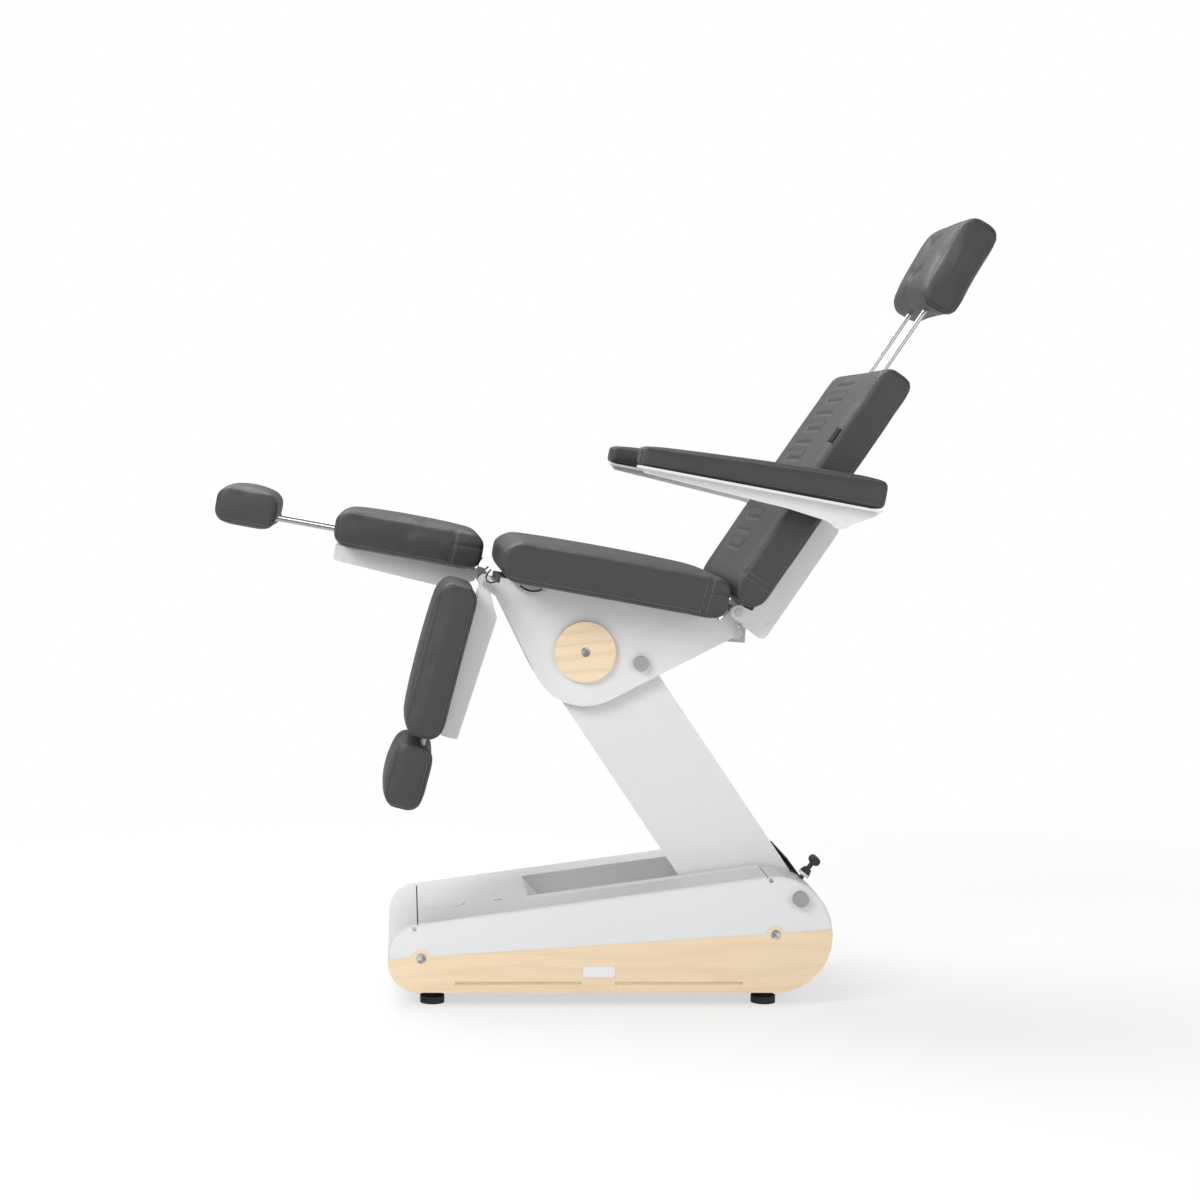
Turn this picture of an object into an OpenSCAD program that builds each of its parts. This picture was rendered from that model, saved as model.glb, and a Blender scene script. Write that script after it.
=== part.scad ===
// Podiatry chair: a lifting base, a slanted arm, a tilting seat, a back, a headrest,
// two swinging armrests and two leg rests with sliding foot pads.
// +Z is up, the foot end points to -X, the near side to -Y. The origin is the middle of the feet.

/* [Base] */
// Width of the base over both wood panels
base_w = 455; // [420:1:520]
// Distance from the middle of the feet to the front end
base_front = 430; // [410:1:460]
// Distance from the middle of the feet to the rear end
base_rear = 474; // [465:1:500]
// Height of the underside of the base
floor_gap = 29; // [22:1:40]
// Height of the top surface at the front end
top_front_h = 160; // [150:1:175]
// Slope of the top surface in degrees
top_slope = 7.7; // [6:0.1:9]
// Radius of the front end's rounding
front_r = 61; // [45:1:64]
// Radius of the rear end's rounding
rear_r = 116; // [90:1:118]
// Thickness of the sheet covers
sheet_t = 3; // [2:0.5:4]
// Thickness of the wood panels
wood_t = 18; // [14:1:22]
// Height of the joint between wood and cover at the front end
joint_h = 97; // [90:1:104]
// Slope of that joint in degrees
joint_slope = 3.8; // [3:0.1:4.5]
// Radius of the wood's bump round a panel screw
bump_r = 18; // [15:0.5:22]
// Radius of a panel screw's head
panel_screw_r = 10; // [8:0.5:12]
// Distance of the panel screws from the front and rear ends
panel_screw_in = [68, 115]; // [60:1:130]
// Radius of the covers' small screws, and their places along the base
small_screw_r = 4.5; // [3.5:0.5:5]
small_screws_x = [-376, 349]; // [-380:1:360]
// Half the spacing of the feet along the base
foot_half_x = 339; // [320:1:350]
// Distance of the feet from the wood panels' outer faces
foot_in = 47.5; // [42:0.5:60]
// Radius of a levelling foot
foot_r = 25; // [20:1:30]
// Radius of the feet's threaded studs
stud_r = 6; // [5:0.5:8]

/* [Lift] */
// Place of the lower hinge of the arm, X and Z
low_pin = [408, 220]; // [200:1:420]
// Place of the upper hinge, the middle of the wood discs, X and Z
top_pin = [-21.6, 713]; // [-40:1:740]
// Slope of the arm's edges in degrees
arm_slope = 56.2; // [55:0.1:58]
// Distance from the line of the upper hinge to the arm's front and rear edges
arm_front = 97; // [92:1:99]
// The same to the rear edge
arm_back = 101; // [100:1:106]
// Width of the arm
arm_w = 210; // [200:1:216]
// Wall of the arm
arm_t = 4; // [3:0.5:5]
// Radius of the lower and upper axles
axle_r = 15; // [13:0.5:16]
// Radius and height of the grey axle caps
axle_cap = [15.5, 14]; // [10:0.5:18]
// Offset of the levelling link's pins from the arm's hinges, X and Z
link_off = [-15, -58]; // [-60:1:-10]
// Width and thickness of the levelling link's bar
link_bar = [22, 14]; // [10:1:26]
// Radius of the small pins of links and actuators
pin_r = 8; // [6:0.5:9]

/* [Seat] */
// Tilt of the seat in degrees
seat_tilt = 10.4; // [8:0.1:12]
// Length of the seat cushion
seat_len = 484; // [470:1:490]
// Width of the seat cushion
seat_w = 566; // [540:1:572]
// Thickness of the seat cushion
seat_t = 94; // [80:1:105]
// Outer width over the seat frame's side plates
frame_w = 260; // [250:1:280]
// Thickness of the side plates
plate_t = 5; // [4:0.5:6]
// Radius of the side plates round the upper hinge
plate_r = 113; // [105:1:118]
// Radius and thickness of the wood discs
disc = [62.8, 12]; // [8:0.1:70]
// Place of the grey caps of the side pins, X and Z
side_pin_at = [94, 689]; // [80:1:700]
// Radius of the seat cushion's ends
seat_end_r = 34; // [20:1:40]
// Thickness of the seat's board
deck_t = 12; // [9:1:15]
// Distance of the knee hinge past the seat's front end, and its height over the seat's underside
knee_in = [9.3084, -15.6226]; // [-20:0.0001:20]
// Radius of the knee and back hinge pins
hinge_r = 8; // [7:0.5:9]

/* [Back] */
// Distance of the back hinge past the seat's rear end, and its height over the seat's underside
back_in = [29.1604, 18.2495]; // [10:0.0001:40]
// Angle of the back above level in degrees
back_angle = 55.4; // [50:0.1:60]
// Length of the back cushion
back_len = 590; // [560:1:620]
// Width of the back cushion
back_w = 550; // [520:1:560]
// Thickness of the back cushion
back_t = 86; // [78:1:90]
// Radius of the back cushion's ends
back_end_r = 26; // [15:1:32]
// Outer width over the back's side plates
back_frame_w = 330; // [320:1:360]
// Depth of the side plates behind the cushion
back_plate_d = 52; // [44:1:56]
// Place of the lever's pin below the back hinge, X and Z
lever_pin = [24, -59]; // [-65:1:30]

/* [Head] */
// Length, width and thickness of the headrest
head_size = [220, 330, 96]; // [80:1:360]
// Radius of the headrest's ends
head_end_r = 28; // [15:1:34]
// Lean of the headrest forward of the back in degrees
head_lean = 4.6; // [0:0.1:8]
// Radius of the headrest's rods
rod_r = 5; // [4:0.5:6]
// Half the distance between the rods
rod_half = 75; // [60:1:90]
// Distance of the headrest from the back cushion
head_gap = 150; // [140:1:170]

/* [Armrests] */
// Place of the armrest hub along and behind the back
hub_at = [269.6, 31.8]; // [25:0.1:280]
// Slope of the armrest in degrees
arm_rest_slope = 10.65; // [8:0.05:12]
// Length and width of the armrest pad
pad_size = [498, 84]; // [70:1:520]
// Thickness of the pad at its front and rear end
pad_t = [42, 65]; // [34:1:70]
// Radius of the pad's ends
pad_end_r = 12; // [6:1:14]
// Distance of the armrest's middle from the middle of the chair
pad_half = 335; // [332:1:345]
// Height of the pad's underside over the hub
pad_up = 26; // [22:1:32]
// Thickness of the armrest's steel
web_t = 6; // [4:1:8]

/* [Legs] */
// Angle of the far leg rest above level in degrees
far_leg = 10.35; // [0:0.05:20]
// Angle of the near leg rest below level in degrees
near_leg = 75.25; // [70:0.05:80]
// Length, width and thickness of a leg cushion
leg_size = [334, 270, 90]; // [80:1:345]
// Radius of the leg cushion's and foot pad's ends
leg_end_r = 26; // [15:1:32]
foot_end_r = 24; // [15:1:32]
// Height of the leg cushion's underside over the knee hinge
leg_up = 11; // [9:1:16]
// Gap between the two leg cushions
leg_gap = 14; // [8:1:30]
// Width and depth of the leg's channel
channel = [150, 34]; // [30:1:170]
// Length, width and thickness of a foot pad
foot_size = [140, 266, 90]; // [80:1:280]
// Distance of the far and near foot pad from the leg cushion
foot_out = [117, 4]; // [4:1:125]
// Height of the foot pad's rods over the knee hinge
rod_up = 44; // [40:1:50]

/* [Hidden] */
$fn = 48;
// Gap between covers, running clearance of pins and gap round soft parts
cover_tone = [0.28, 0.28, 0.29];
fit = 0.3;
run = 0.05;
soft = 2;
// Overrun of a cutter past the solid that it cuts
over = 5;
near = -1;
far = 1;

// Points on an outline whose corners [x, y, radius] are rounded, in steps of arc_n
arc_n = 7;
function unit(v) = v / norm(v);
function corner(p, c, n) =
    let (a = unit([p[0] - c[0], p[1] - c[1]]), b = unit([n[0] - c[0], n[1] - c[1]]),
        half = acos(a * b) / 2, m = [c[0], c[1]] + unit(a + b) * c[2] / sin(half),
        from = [c[0], c[1]] + a * c[2] / tan(half) - m, to = [c[0], c[1]] + b * c[2] / tan(half) - m,
        turn = (from[0] * to[1] - from[1] * to[0] > 0 ? 1 : -1) * (180 - 2 * half))
    [for (i = [0 : arc_n]) let (t = turn * i / arc_n)
        m + [from[0] * cos(t) - from[1] * sin(t), from[0] * sin(t) + from[1] * cos(t)]];
function rounded(pts) = [for (i = [0 : len(pts) - 1])
    for (q = pts[i][2] == 0 ? [[pts[i][0], pts[i][1]]]
        : corner(pts[(i + len(pts) - 1) % len(pts)], pts[i], pts[(i + 1) % len(pts)])) q];
// Point where a line from p touches the circle of radius r about c, on the side s
function touch(c, r, p, s) = let (v = p - c, a = atan2(v[1], v[0]) + s * acos(r / norm(v)))
    c + r * [cos(a), sin(a)];
// A place in a frame that leans by a degrees about +Y, seen in X and Z
function turned(p, a) = [p[0] * cos(a) + p[1] * sin(a), -p[0] * sin(a) + p[1] * cos(a)];

// Extrudes a side view drawn in X and Z, from y0 over the width w
module side(y0, w) {
    translate([0, y0 + w, 0]) rotate([90, 0, 0]) linear_extrude(w) children();
}
// A round bar across the chair
module bar_y(at, r, y0, w) {
    translate([at[0], y0 + w, at[1]]) rotate([90, 0, 0]) cylinder(r = r, h = w);
}
// A screw of the side s, with a hexagonal socket in its outer face, which lies at y = out
socket_share = 0.5;
module screw(at, r, s, out, len) {
    difference() {
        bar_y(at, r, s * (out - len / 2) - len / 2, len);
        translate([0, s * out, 0]) bar_y(at, r * socket_share, -r * socket_share / 2, r * socket_share,
            $fn = 6);
    }
}
// A sheet's end stop, or a plate with a hole, in a side view
module ring(at, r, hole) {
    translate(at) difference() {
        circle(r = r);
        circle(r = hole);
    }
}

// Base outline in X and Z, drawn in by d
half_w = base_w / 2;
base_len = base_front + base_rear;
function top_z(x) = top_front_h + (x + base_front) * tan(top_slope);
function joint_z(x) = joint_h + (x + base_front) * tan(joint_slope);
function base_pts(d) = let (c = d / cos(top_slope)) rounded([
    [-base_front + d, floor_gap + d, front_r - d],
    [base_rear - d, floor_gap + d, rear_r - d],
    [base_rear - d, top_z(base_rear - d) - c, rear_r - d],
    [-base_front + d, top_z(-base_front + d) - c, front_r - d]]);
panel_screws_x = [-base_front + panel_screw_in[0], base_rear - panel_screw_in[1]];
screw_drop = 3;
function screw_at(x) = [x, joint_z(x) - screw_drop];
// The small screws sit just below the covers' upper edge
small_drop = 9;
small_head = 4;
head_out = 0.6;
function small_at(x) = [x, top_z(x) - small_drop];
module below_joint(gap) {
    polygon([[-base_front - over, 0], [base_rear + over, 0],
        [base_rear + over, joint_z(base_rear + over) + gap],
        [-base_front - over, joint_z(-base_front - over) + gap]]);
    for (x = panel_screws_x) translate(screw_at(x)) circle(r = bump_r + gap);
}
// The plane that the wood, the covers and the chassis share
foot_half = [foot_half_x, half_w - foot_in];
chassis_y = half_w - wood_t;
chassis_t = 5;
floor_t = 4;
well_half = 112.5;
well_front = -140;
well_lip = 5;
slit_front = -base_front + front_r;
slit_rear = base_rear - rear_r - 16;
slit = 2.4;
well_rear = low_pin[0] + 6;
foot_boss_r = 16;
foot_boss_h = 26;
lever_in = 59.5;
lever_y = chassis_y - lever_in;
lift_lever = 80;
lift_lean = 8.5;
lift_pin = low_pin + lift_lever * [-sin(lift_lean), -cos(lift_lean)];
lift_end = [-210, lift_pin[1] - 48];
bracket_t = 6;
bracket_r = 18;
link_y = link_bar[1] / 2;
link_base = low_pin + link_off;
link_top = top_pin + link_off;

module chassis_side() {
    difference() {
        polygon(base_pts(sheet_t + fit));
        translate(low_pin) circle(r = axle_r + bracket_t);
    }
}
module bracket(at, y0) {
    for (s = [near, far]) side(y0 + s * (link_y + bracket_t) - bracket_t / 2, bracket_t) difference() {
        union() {
            translate(at) circle(r = bracket_r);
            translate([at[0] - bracket_r, floor_gap + sheet_t])
                square([2 * bracket_r, at[1] - floor_gap - sheet_t]);
        }
        translate(at) circle(r = pin_r + run);
    }
}
module floor_frame() {
    color("dimgray") {
        for (s = [near, far]) side(s * (chassis_y - chassis_t / 2) - chassis_t / 2, chassis_t)
            chassis_side();
        difference() {
            translate([-base_front + front_r, -chassis_y, floor_gap + sheet_t + fit])
                cube([base_len - front_r - rear_r, 2 * chassis_y, floor_t]);
            for (sx = [near, far]) for (sy = [near, far])
                translate([sx * foot_half[0], sy * foot_half[1], 0])
                    cylinder(r = stud_r + run, h = 2 * floor_gap);
        }
        for (sx = [near, far]) for (sy = [near, far])
            translate([sx * foot_half[0], sy * foot_half[1], floor_gap + sheet_t + fit])
                difference() {
                    cylinder(r = foot_boss_r, h = foot_boss_h);
                    translate([0, 0, -over]) cylinder(r = stud_r + run, h = foot_boss_h + 2 * over);
                }
        bracket(link_base, 0);
        bracket(lift_end, lever_y);
        bar_y(link_base, pin_r, -link_y - 2 * bracket_t, 2 * link_y + 4 * bracket_t);
        bar_y(lift_end, pin_r, lever_y - link_y - 2 * bracket_t, 2 * link_y + 4 * bracket_t);
    }
}
// Recess for the plain badge plate and the two long slots in each wood panel
badge = [68, 24, 8];
badge_at = [-1, 71];
badge_t = 3;
slot_z = 45;
slot_h = 6;
slot_d = 4;
slots = [[-293, 256], [32, 258]];
module badge_outline(d) {
    polygon(rounded([for (q = [[near, near], [far, near], [far, far], [near, far]])
        [badge_at[0] + q[0] * (badge[0] / 2 - d), badge_at[1] + q[1] * (badge[1] / 2 - d), badge[2] - d]]));
}
module wood_panel(s) {
    color("burlywood") difference() {
        side(s * (half_w - wood_t / 2) - wood_t / 2, wood_t) difference() {
            intersection() {
                polygon(base_pts(0));
                below_joint(0);
            }
            for (x = panel_screws_x) translate(screw_at(x)) circle(r = panel_screw_r / 2);
        }
        for (x = panel_screws_x)
            bar_y(screw_at(x), panel_screw_r + fit, s * half_w - slot_d, 2 * slot_d);
        side(s * half_w - slot_d, 2 * slot_d) badge_outline(0);
        for (q = slots) translate([q[0], s * half_w - slot_d, slot_z]) cube([q[1], 2 * slot_d, slot_h]);
    }
}
module wood_panel_near() { wood_panel(near); }
module wood_panel_far() { wood_panel(far); }
module badge_plates() {
    color("white") for (s = [near, far])
        side(s * (half_w - slot_d + badge_t / 2) - badge_t / 2, badge_t) badge_outline(fit);
}
module upper_band(d) {
    difference() {
        polygon(base_pts(sheet_t + fit + d));
        below_joint(fit + d);
    }
}
module side_cover(s) {
    color("gainsboro") difference() {
        side(s * (half_w - wood_t / 2) - wood_t / 2, wood_t) difference() {
            upper_band(0);
            translate(low_pin) circle(r = axle_cap[0] + fit);
            for (x = small_screws_x) translate(small_at(x)) circle(r = small_screw_r + run);
        }
        side(s * (chassis_y - over / 2 + (wood_t - sheet_t) / 2) - (wood_t - sheet_t + over) / 2,
            wood_t - sheet_t + over) difference() {
                upper_band(sheet_t);
        }
    }
}
module side_cover_near() { side_cover(near); }
module side_cover_far() { side_cover(far); }
module base_skin(x0, x1) {
    difference() {
        intersection() {
            polygon(base_pts(0));
            translate([x0, 0]) square([x1 - x0, 2 * base_len]);
        }
        polygon(base_pts(sheet_t));
    }
}
// Cuts the covers' skin away where the wood panels stand outside it
module wood_room() {
    for (s = [near, far]) side(s * (half_w + over) - wood_t - over, 2 * (wood_t + over)) below_joint(fit);
}
module well_cut() {
    translate([well_front, -well_half, 0]) cube([well_rear - well_front, 2 * well_half, 2 * base_len]);
}
sockets_at = [-200, -88];
socket = [18, 9, 12];
button_r = 42;
button_at = [-312, -70];
module top_cover() {
    color("gainsboro") difference() {
        side(-half_w, base_w) intersection() {
            base_skin(slit_front + slit / 2, slit_rear - slit / 2);
            translate([-base_front, joint_z(0)]) square([base_len, base_len]);
        }
        well_cut();
        on_top(button_at) translate([0, 0, -over - sheet_t]) cylinder(r = button_r + fit * 2, h = 2 * over);
        on_top(sockets_at) translate([-socket[0] / 2, -socket[1] / 2, -over - sheet_t])
            cube([socket[0], socket[1], 2 * over]);
    }
    color("gainsboro") for (s = [near, far]) side(s * (well_half + sheet_t / 2) - sheet_t / 2, sheet_t)
        polygon([for (q = [[well_front, 0], [slit_rear - slit, 0], [slit_rear - slit, well_lip],
            [well_front, well_lip]]) [q[0], top_z(q[0]) + q[1]]]);
    color("gainsboro") translate([0, -well_half - sheet_t, 0]) side(0, 2 * (well_half + sheet_t))
        polygon([for (q = [[well_front - sheet_t, 0], [well_front, 0], [well_front, well_lip],
            [well_front - sheet_t, well_lip]]) [q[0], top_z(q[0]) + q[1]]]);
}
// Stands its children on the sloping top at a place in X and Y
module on_top(at) {
    translate([at[0], at[1], top_z(at[0])]) rotate([0, -top_slope, 0]) children();
}
module front_end_cover() {
    color("gainsboro") difference() {
        side(-half_w, base_w) base_skin(-base_front - over, slit_front - slit / 2);
        wood_room();
        side(-half_w, base_w) translate([slit_front - slit, -over])
            square([over, joint_h]);
    }
}
handle_y = -140;
handle_lean = 38;
handle_base = [base_rear - rear_r + (rear_r + fit) * sin(handle_lean),
    top_z(base_rear) - rear_r / cos(top_slope) - rear_r * 0.02 + (rear_r + fit) * cos(handle_lean)];
handle_boss = [12, 3];
handle_step = 12;
handle_stem_r = 5;
// Height of the grip over the cover, and its radius and length
handle_top = 36;
handle_grip = [9, 38];
module rear_end_cover() {
    color("gainsboro") difference() {
        side(-half_w, base_w) difference() {
            base_skin(slit_rear + slit / 2, base_rear + over);
            translate([slit_rear, 0]) square([base_rear - rear_r - slit_rear, joint_h]);
        }
        wood_room();
        well_cut();
        at_handle() translate([0, 0, -4 * over]) cylinder(r = handle_stem_r + fit, h = 8 * over);
    }
    color("gainsboro") at_handle() difference() {
        translate([0, 0, -sheet_t]) cylinder(r = handle_boss[0], h = handle_boss[1] + sheet_t);
        translate([0, 0, -over]) cylinder(r = handle_stem_r + run, h = handle_boss[1] + 2 * over);
    }
}
module at_handle() {
    translate([handle_base[0], handle_y, handle_base[1]]) rotate([0, handle_lean, 0]) children();
}
module t_handle() {
    color("black") at_handle() {
        translate([0, 0, -handle_step]) cylinder(r = handle_stem_r, h = 4 * handle_step);
        bar_y([0, handle_top], handle_grip[0], -handle_grip[1] / 2, handle_grip[1]);
        translate([0, 0, handle_boss[1] + fit]) cylinder(r1 = handle_boss[0], r2 = handle_grip[0] - 1,
            h = handle_step);
    }
}
module arm_well() {
    color("gainsboro") {
        for (s = [near, far]) side(s * (well_half + sheet_t / 2) - sheet_t / 2, sheet_t) well_side();
        side(-well_half, 2 * well_half) difference() {
            well_side();
            translate([sheet_t / 2, sheet_t]) well_side_open();
        }
    }
}
well_low = [300, floor_gap + 26];
module well_side() {
    polygon([[well_front, top_z(well_front) - sheet_t - fit], [well_front + 60, top_z(well_front) - 60],
        well_low, [slit_rear - 20, well_low[1]], [slit_rear - 20, top_z(slit_rear - 20) - sheet_t - fit]]);
}
module well_side_open() {
    polygon([[well_front, top_z(well_front) - sheet_t - fit], [well_front + 60, top_z(well_front) - 60],
        well_low, [slit_rear + 20, well_low[1]], [slit_rear + 20, top_z(slit_rear) + 99],
        [well_front, top_z(slit_rear) + 99]]);
}
module levelling_feet() {
    color("black") for (sx = [near, far]) for (sy = [near, far])
        translate([sx * foot_half[0], sy * foot_half[1], 0]) {
            cylinder(r = foot_r, h = floor_gap / 2);
            cylinder(r = stud_r, h = floor_gap + foot_boss_h);
            cylinder(r = foot_r / 2, h = floor_gap - fit, $fn = 6);
        }
}
module panel_screws() {
    color("silver") for (s = [near, far]) for (x = panel_screws_x) {
        screw(screw_at(x), panel_screw_r, s, half_w + head_out, slot_d + head_out - fit);
        bar_y(screw_at(x), panel_screw_r / 2 - run, s * (half_w - wood_t / 2) - wood_t / 2, wood_t);
    }
    color("silver") for (s = [near, far]) for (x = small_screws_x)
        screw(small_at(x), small_screw_r, s, half_w + head_out, small_head);
}
bearing_w = 13;
module axle_bearings() {
    color("dimgray") for (s = [near, far])
        side(s * (chassis_y - bearing_w / 2 + 2) - bearing_w / 2, bearing_w)
            ring(low_pin, axle_r + bracket_t - fit, axle_r + run);
}
module axle_caps() {
    color("gray") for (s = [near, far])
        bar_y(low_pin, axle_cap[0], s * (chassis_y + 9 + (wood_t - 9 + axle_cap[1]) / 2)
            - (wood_t - 9 + axle_cap[1]) / 2, wood_t - 9 + axle_cap[1]);
}
box_size = [150, 60, 70];
module control_box() {
    color("dimgray") translate([-base_front + front_r + 75, -chassis_y + chassis_t,
        floor_gap + sheet_t + fit + floor_t])
        cube(box_size);
}
inlet = [12, 50, 30];
module mains_inlet() {
    color("black") translate([-base_front + 2 * sheet_t, chassis_y - chassis_t - 3 * inlet[1],
        floor_gap + front_r - inlet[2] / 2])
        cube([front_r, inlet[1], inlet[2]]);
}
module hand_control_sockets() {
    color("black") on_top(sockets_at) translate([-socket[0] / 2 + fit, -socket[1] / 2 + fit,
        -socket[2] - 1])
        cube([socket[0] - 2 * fit, socket[1] - 2 * fit, socket[2]]);
}
module foot_button() {
    color("gainsboro") on_top(button_at) {
        translate([0, 0, -sheet_t - 2]) cylinder(r = button_r, h = sheet_t + 4);
        translate([0, 0, -30]) cylinder(r = button_r / 3, h = 30 - sheet_t);
    }
}
boot = [9, 36];
boot_x = well_rear + 8;
// Height of the rear cover's rounding at x
function rear_z(x) = top_z(base_rear - rear_r) - rear_r / cos(top_slope)
    + sqrt(rear_r * rear_r - pow(x - base_rear + rear_r, 2));
module arm_boot() {
    color("black") side(-arm_w / 2, arm_w) polygon([[boot_x, rear_z(boot_x) + fit],
        [boot_x + boot[0], rear_z(boot_x + boot[0]) + fit], [boot_x - boot[1] * 0.6,
            rear_z(boot_x) + boot[1]],
        [boot_x - boot[1] * 0.68, rear_z(boot_x) + boot[1] * 0.95]]);
}

// The three drives: a tube with a motor hump and an eye, and a rod with a slotted eye
drive_r = 20;
drive_rod_r = 9;
drive_eye = 14;
slot_half = 6;
module drive_body(p, q, len, y) {
    a = atan2(q[1] - p[1], q[0] - p[0]);
    color("dimgray") translate([p[0], y, p[1]]) rotate([0, -a, 0]) difference() {
        union() {
            translate([drive_eye * 1.6, 0, 0]) rotate([0, 90, 0])
                cylinder(r = drive_r, h = len - drive_eye * 1.6);
            bar_y([0, 0], drive_eye, -link_y, 2 * link_y);
            translate([0, -link_y, -drive_eye]) cube([drive_eye * 2, 2 * link_y, 2 * drive_eye]);
        }
        bar_y([0, 0], pin_r + run, -2 * drive_eye, 4 * drive_eye);
        translate([2 * drive_eye + over, 0, 0]) rotate([0, 90, 0]) cylinder(r = drive_rod_r + fit,
            h = 2 * len);
    }
}
module drive_rod(p, q, start, y) {
    a = atan2(q[1] - p[1], q[0] - p[0]);
    l = norm(q - p);
    color("silver") translate([p[0], y, p[1]]) rotate([0, -a, 0]) difference() {
        union() {
            translate([start, 0, 0]) rotate([0, 90, 0]) cylinder(r = drive_rod_r,
                h = l - start - drive_eye * 1.5);
            translate([l - drive_eye * 1.6, -link_y, -drive_eye - slot_half])
                cube([drive_eye * 3.2, 2 * link_y, 2 * (drive_eye + slot_half)]);
        }
        translate([l - pin_r - slot_half / 2, -drive_eye, -pin_r - slot_half])
            cube([2 * pin_r + slot_half, 2 * drive_eye, 2 * (pin_r + slot_half)]);
    }
}
lift_len = 330;
module lift_actuator_body() { drive_body(lift_end, lift_pin, lift_len, lever_y); }
module lift_actuator_rod() { drive_rod(lift_end, lift_pin, 180, lever_y); }

// The arm, drawn in its own frame: u runs down from the upper hinge, v toward the rear edge
arm_u = [cos(arm_slope), -sin(arm_slope)];
arm_v = [sin(arm_slope), cos(arm_slope)];
function on_arm(u, v) = top_pin + u * arm_u + v * arm_v;
low_rel = [(low_pin - top_pin) * arm_u, (low_pin - top_pin) * arm_v];
arm_cut = [low_rel[0] - 48, low_rel[0] + 34];
arm_top_r = arm_front;
arm_open = 240;
module arm_side() {
    difference() {
        union() {
            translate(top_pin) circle(r = arm_top_r);
            polygon([on_arm(0, -arm_front), on_arm(arm_cut[0], -arm_front), on_arm(arm_cut[1],
                low_rel[1] - 23),
                on_arm(arm_cut[1], low_rel[1]), on_arm(arm_cut[0] + 40, arm_back), on_arm(arm_back / 3,
                    arm_back),
                on_arm(0, arm_top_r)]);
        }
        translate(top_pin) circle(r = axle_r);
        translate(low_pin) circle(r = axle_r);
    }
}
module arm_wall(u0, u1, v0) {
    side((arm_t - arm_w) / 2, arm_w - arm_t)
        polygon([on_arm(u0, v0), on_arm(u1, v0), on_arm(u1, v0 + arm_t), on_arm(u0, v0 + arm_t)]);
}
module arm_shell() {
    color("whitesmoke") {
        for (s = [near, far]) side(s * (arm_w - arm_t) / 2 - arm_t / 2, arm_t) arm_side();
        arm_wall(arm_front / 2, arm_cut[0], fit - arm_front);
        arm_wall(arm_open, low_rel[0] - axle_r * 2, arm_back - arm_t - fit);
    }
}
axle_len = 2 * (chassis_y + 8);
module lower_axle() {
    color("gray") difference() {
        union() {
            bar_y(low_pin, axle_r, -axle_len / 2, axle_len);
            for (y = [lever_y - link_y - bracket_t - 1, lever_y + link_y + 1]) side(y,
                bracket_t) lever_side();
            bar_y(lift_pin, pin_r, lever_y - link_y - bracket_t - 1, 2 * (link_y + bracket_t + 1));
        }
    }
}
module lever_side() {
    translate(low_pin) circle(r = axle_r + 4);
    translate(lift_pin) circle(r = pin_r + 5);
    polygon([low_pin + [-14, 0], low_pin + [14, 0], lift_pin + [10, 0], lift_pin + [-10, 0]]);
}
upper_len = frame_w;
module upper_axle() {
    color("gray") bar_y(top_pin, axle_r, -upper_len / 2, upper_len);
}
module levelling_link() {
    a = atan2(link_base[1] - link_top[1], link_base[0] - link_top[0]);
    color("dimgray") side(-link_y, 2 * link_y) difference() {
        union() {
            translate(link_top) circle(r = 14);
            translate(link_base) circle(r = 14);
            translate(link_top) rotate(a) translate([0, -link_bar[0] / 2])
                square([norm(link_base - link_top), link_bar[0]]);
        }
        translate(link_top) circle(r = pin_r + run);
        translate(link_base) circle(r = pin_r + run);
    }
}
tilt_lever = [-30, 70];
carrier_y = link_y + 1;
module carrier_side() {
    difference() {
        union() {
            translate(top_pin) circle(r = axle_r + 11);
            translate(link_top) circle(r = pin_r + 8);
            translate(top_pin + tilt_lever) circle(r = pin_r + 6);
            polygon([link_top + [-14, 0], link_top + [14, 0], top_pin + tilt_lever + [12, 0],
                top_pin + tilt_lever + [-12, 0]]);
        }
        translate(top_pin) circle(r = axle_r + run);
    }
}
module levelling_carrier() {
    color("dimgray") {
        for (y = [-carrier_y - bracket_t, carrier_y]) side(y, bracket_t) carrier_side();
        bar_y(link_top, pin_r, -carrier_y, 2 * carrier_y);
        bar_y(top_pin + tilt_lever, pin_r, -carrier_y, 2 * carrier_y);
        side(-carrier_y, 2 * carrier_y) ring(top_pin, axle_r + 6, axle_r + run);
    }
}

// The seat's frame: x along the seat from its middle, z up from the cushion's underside
seat_mid = [22, 827];
function on_seat(x, z) = seat_mid + turned([x, z], seat_tilt);
knee = on_seat(-seat_len / 2 - knee_in[0], knee_in[1]);
back_pin = on_seat(seat_len / 2 + back_in[0], back_in[1]);
module at_seat() {
    translate([seat_mid[0], 0, seat_mid[1]]) rotate([0, seat_tilt, 0]) children();
}
nose_in = 20;
tip_in = [15.5456, 23.9007];
plate_nose = on_seat(nose_in - seat_len / 2, -deck_t - 30);
plate_tip = on_seat(seat_len / 2 + tip_in[0], -tip_in[1]);
tip_r = 20;
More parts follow.
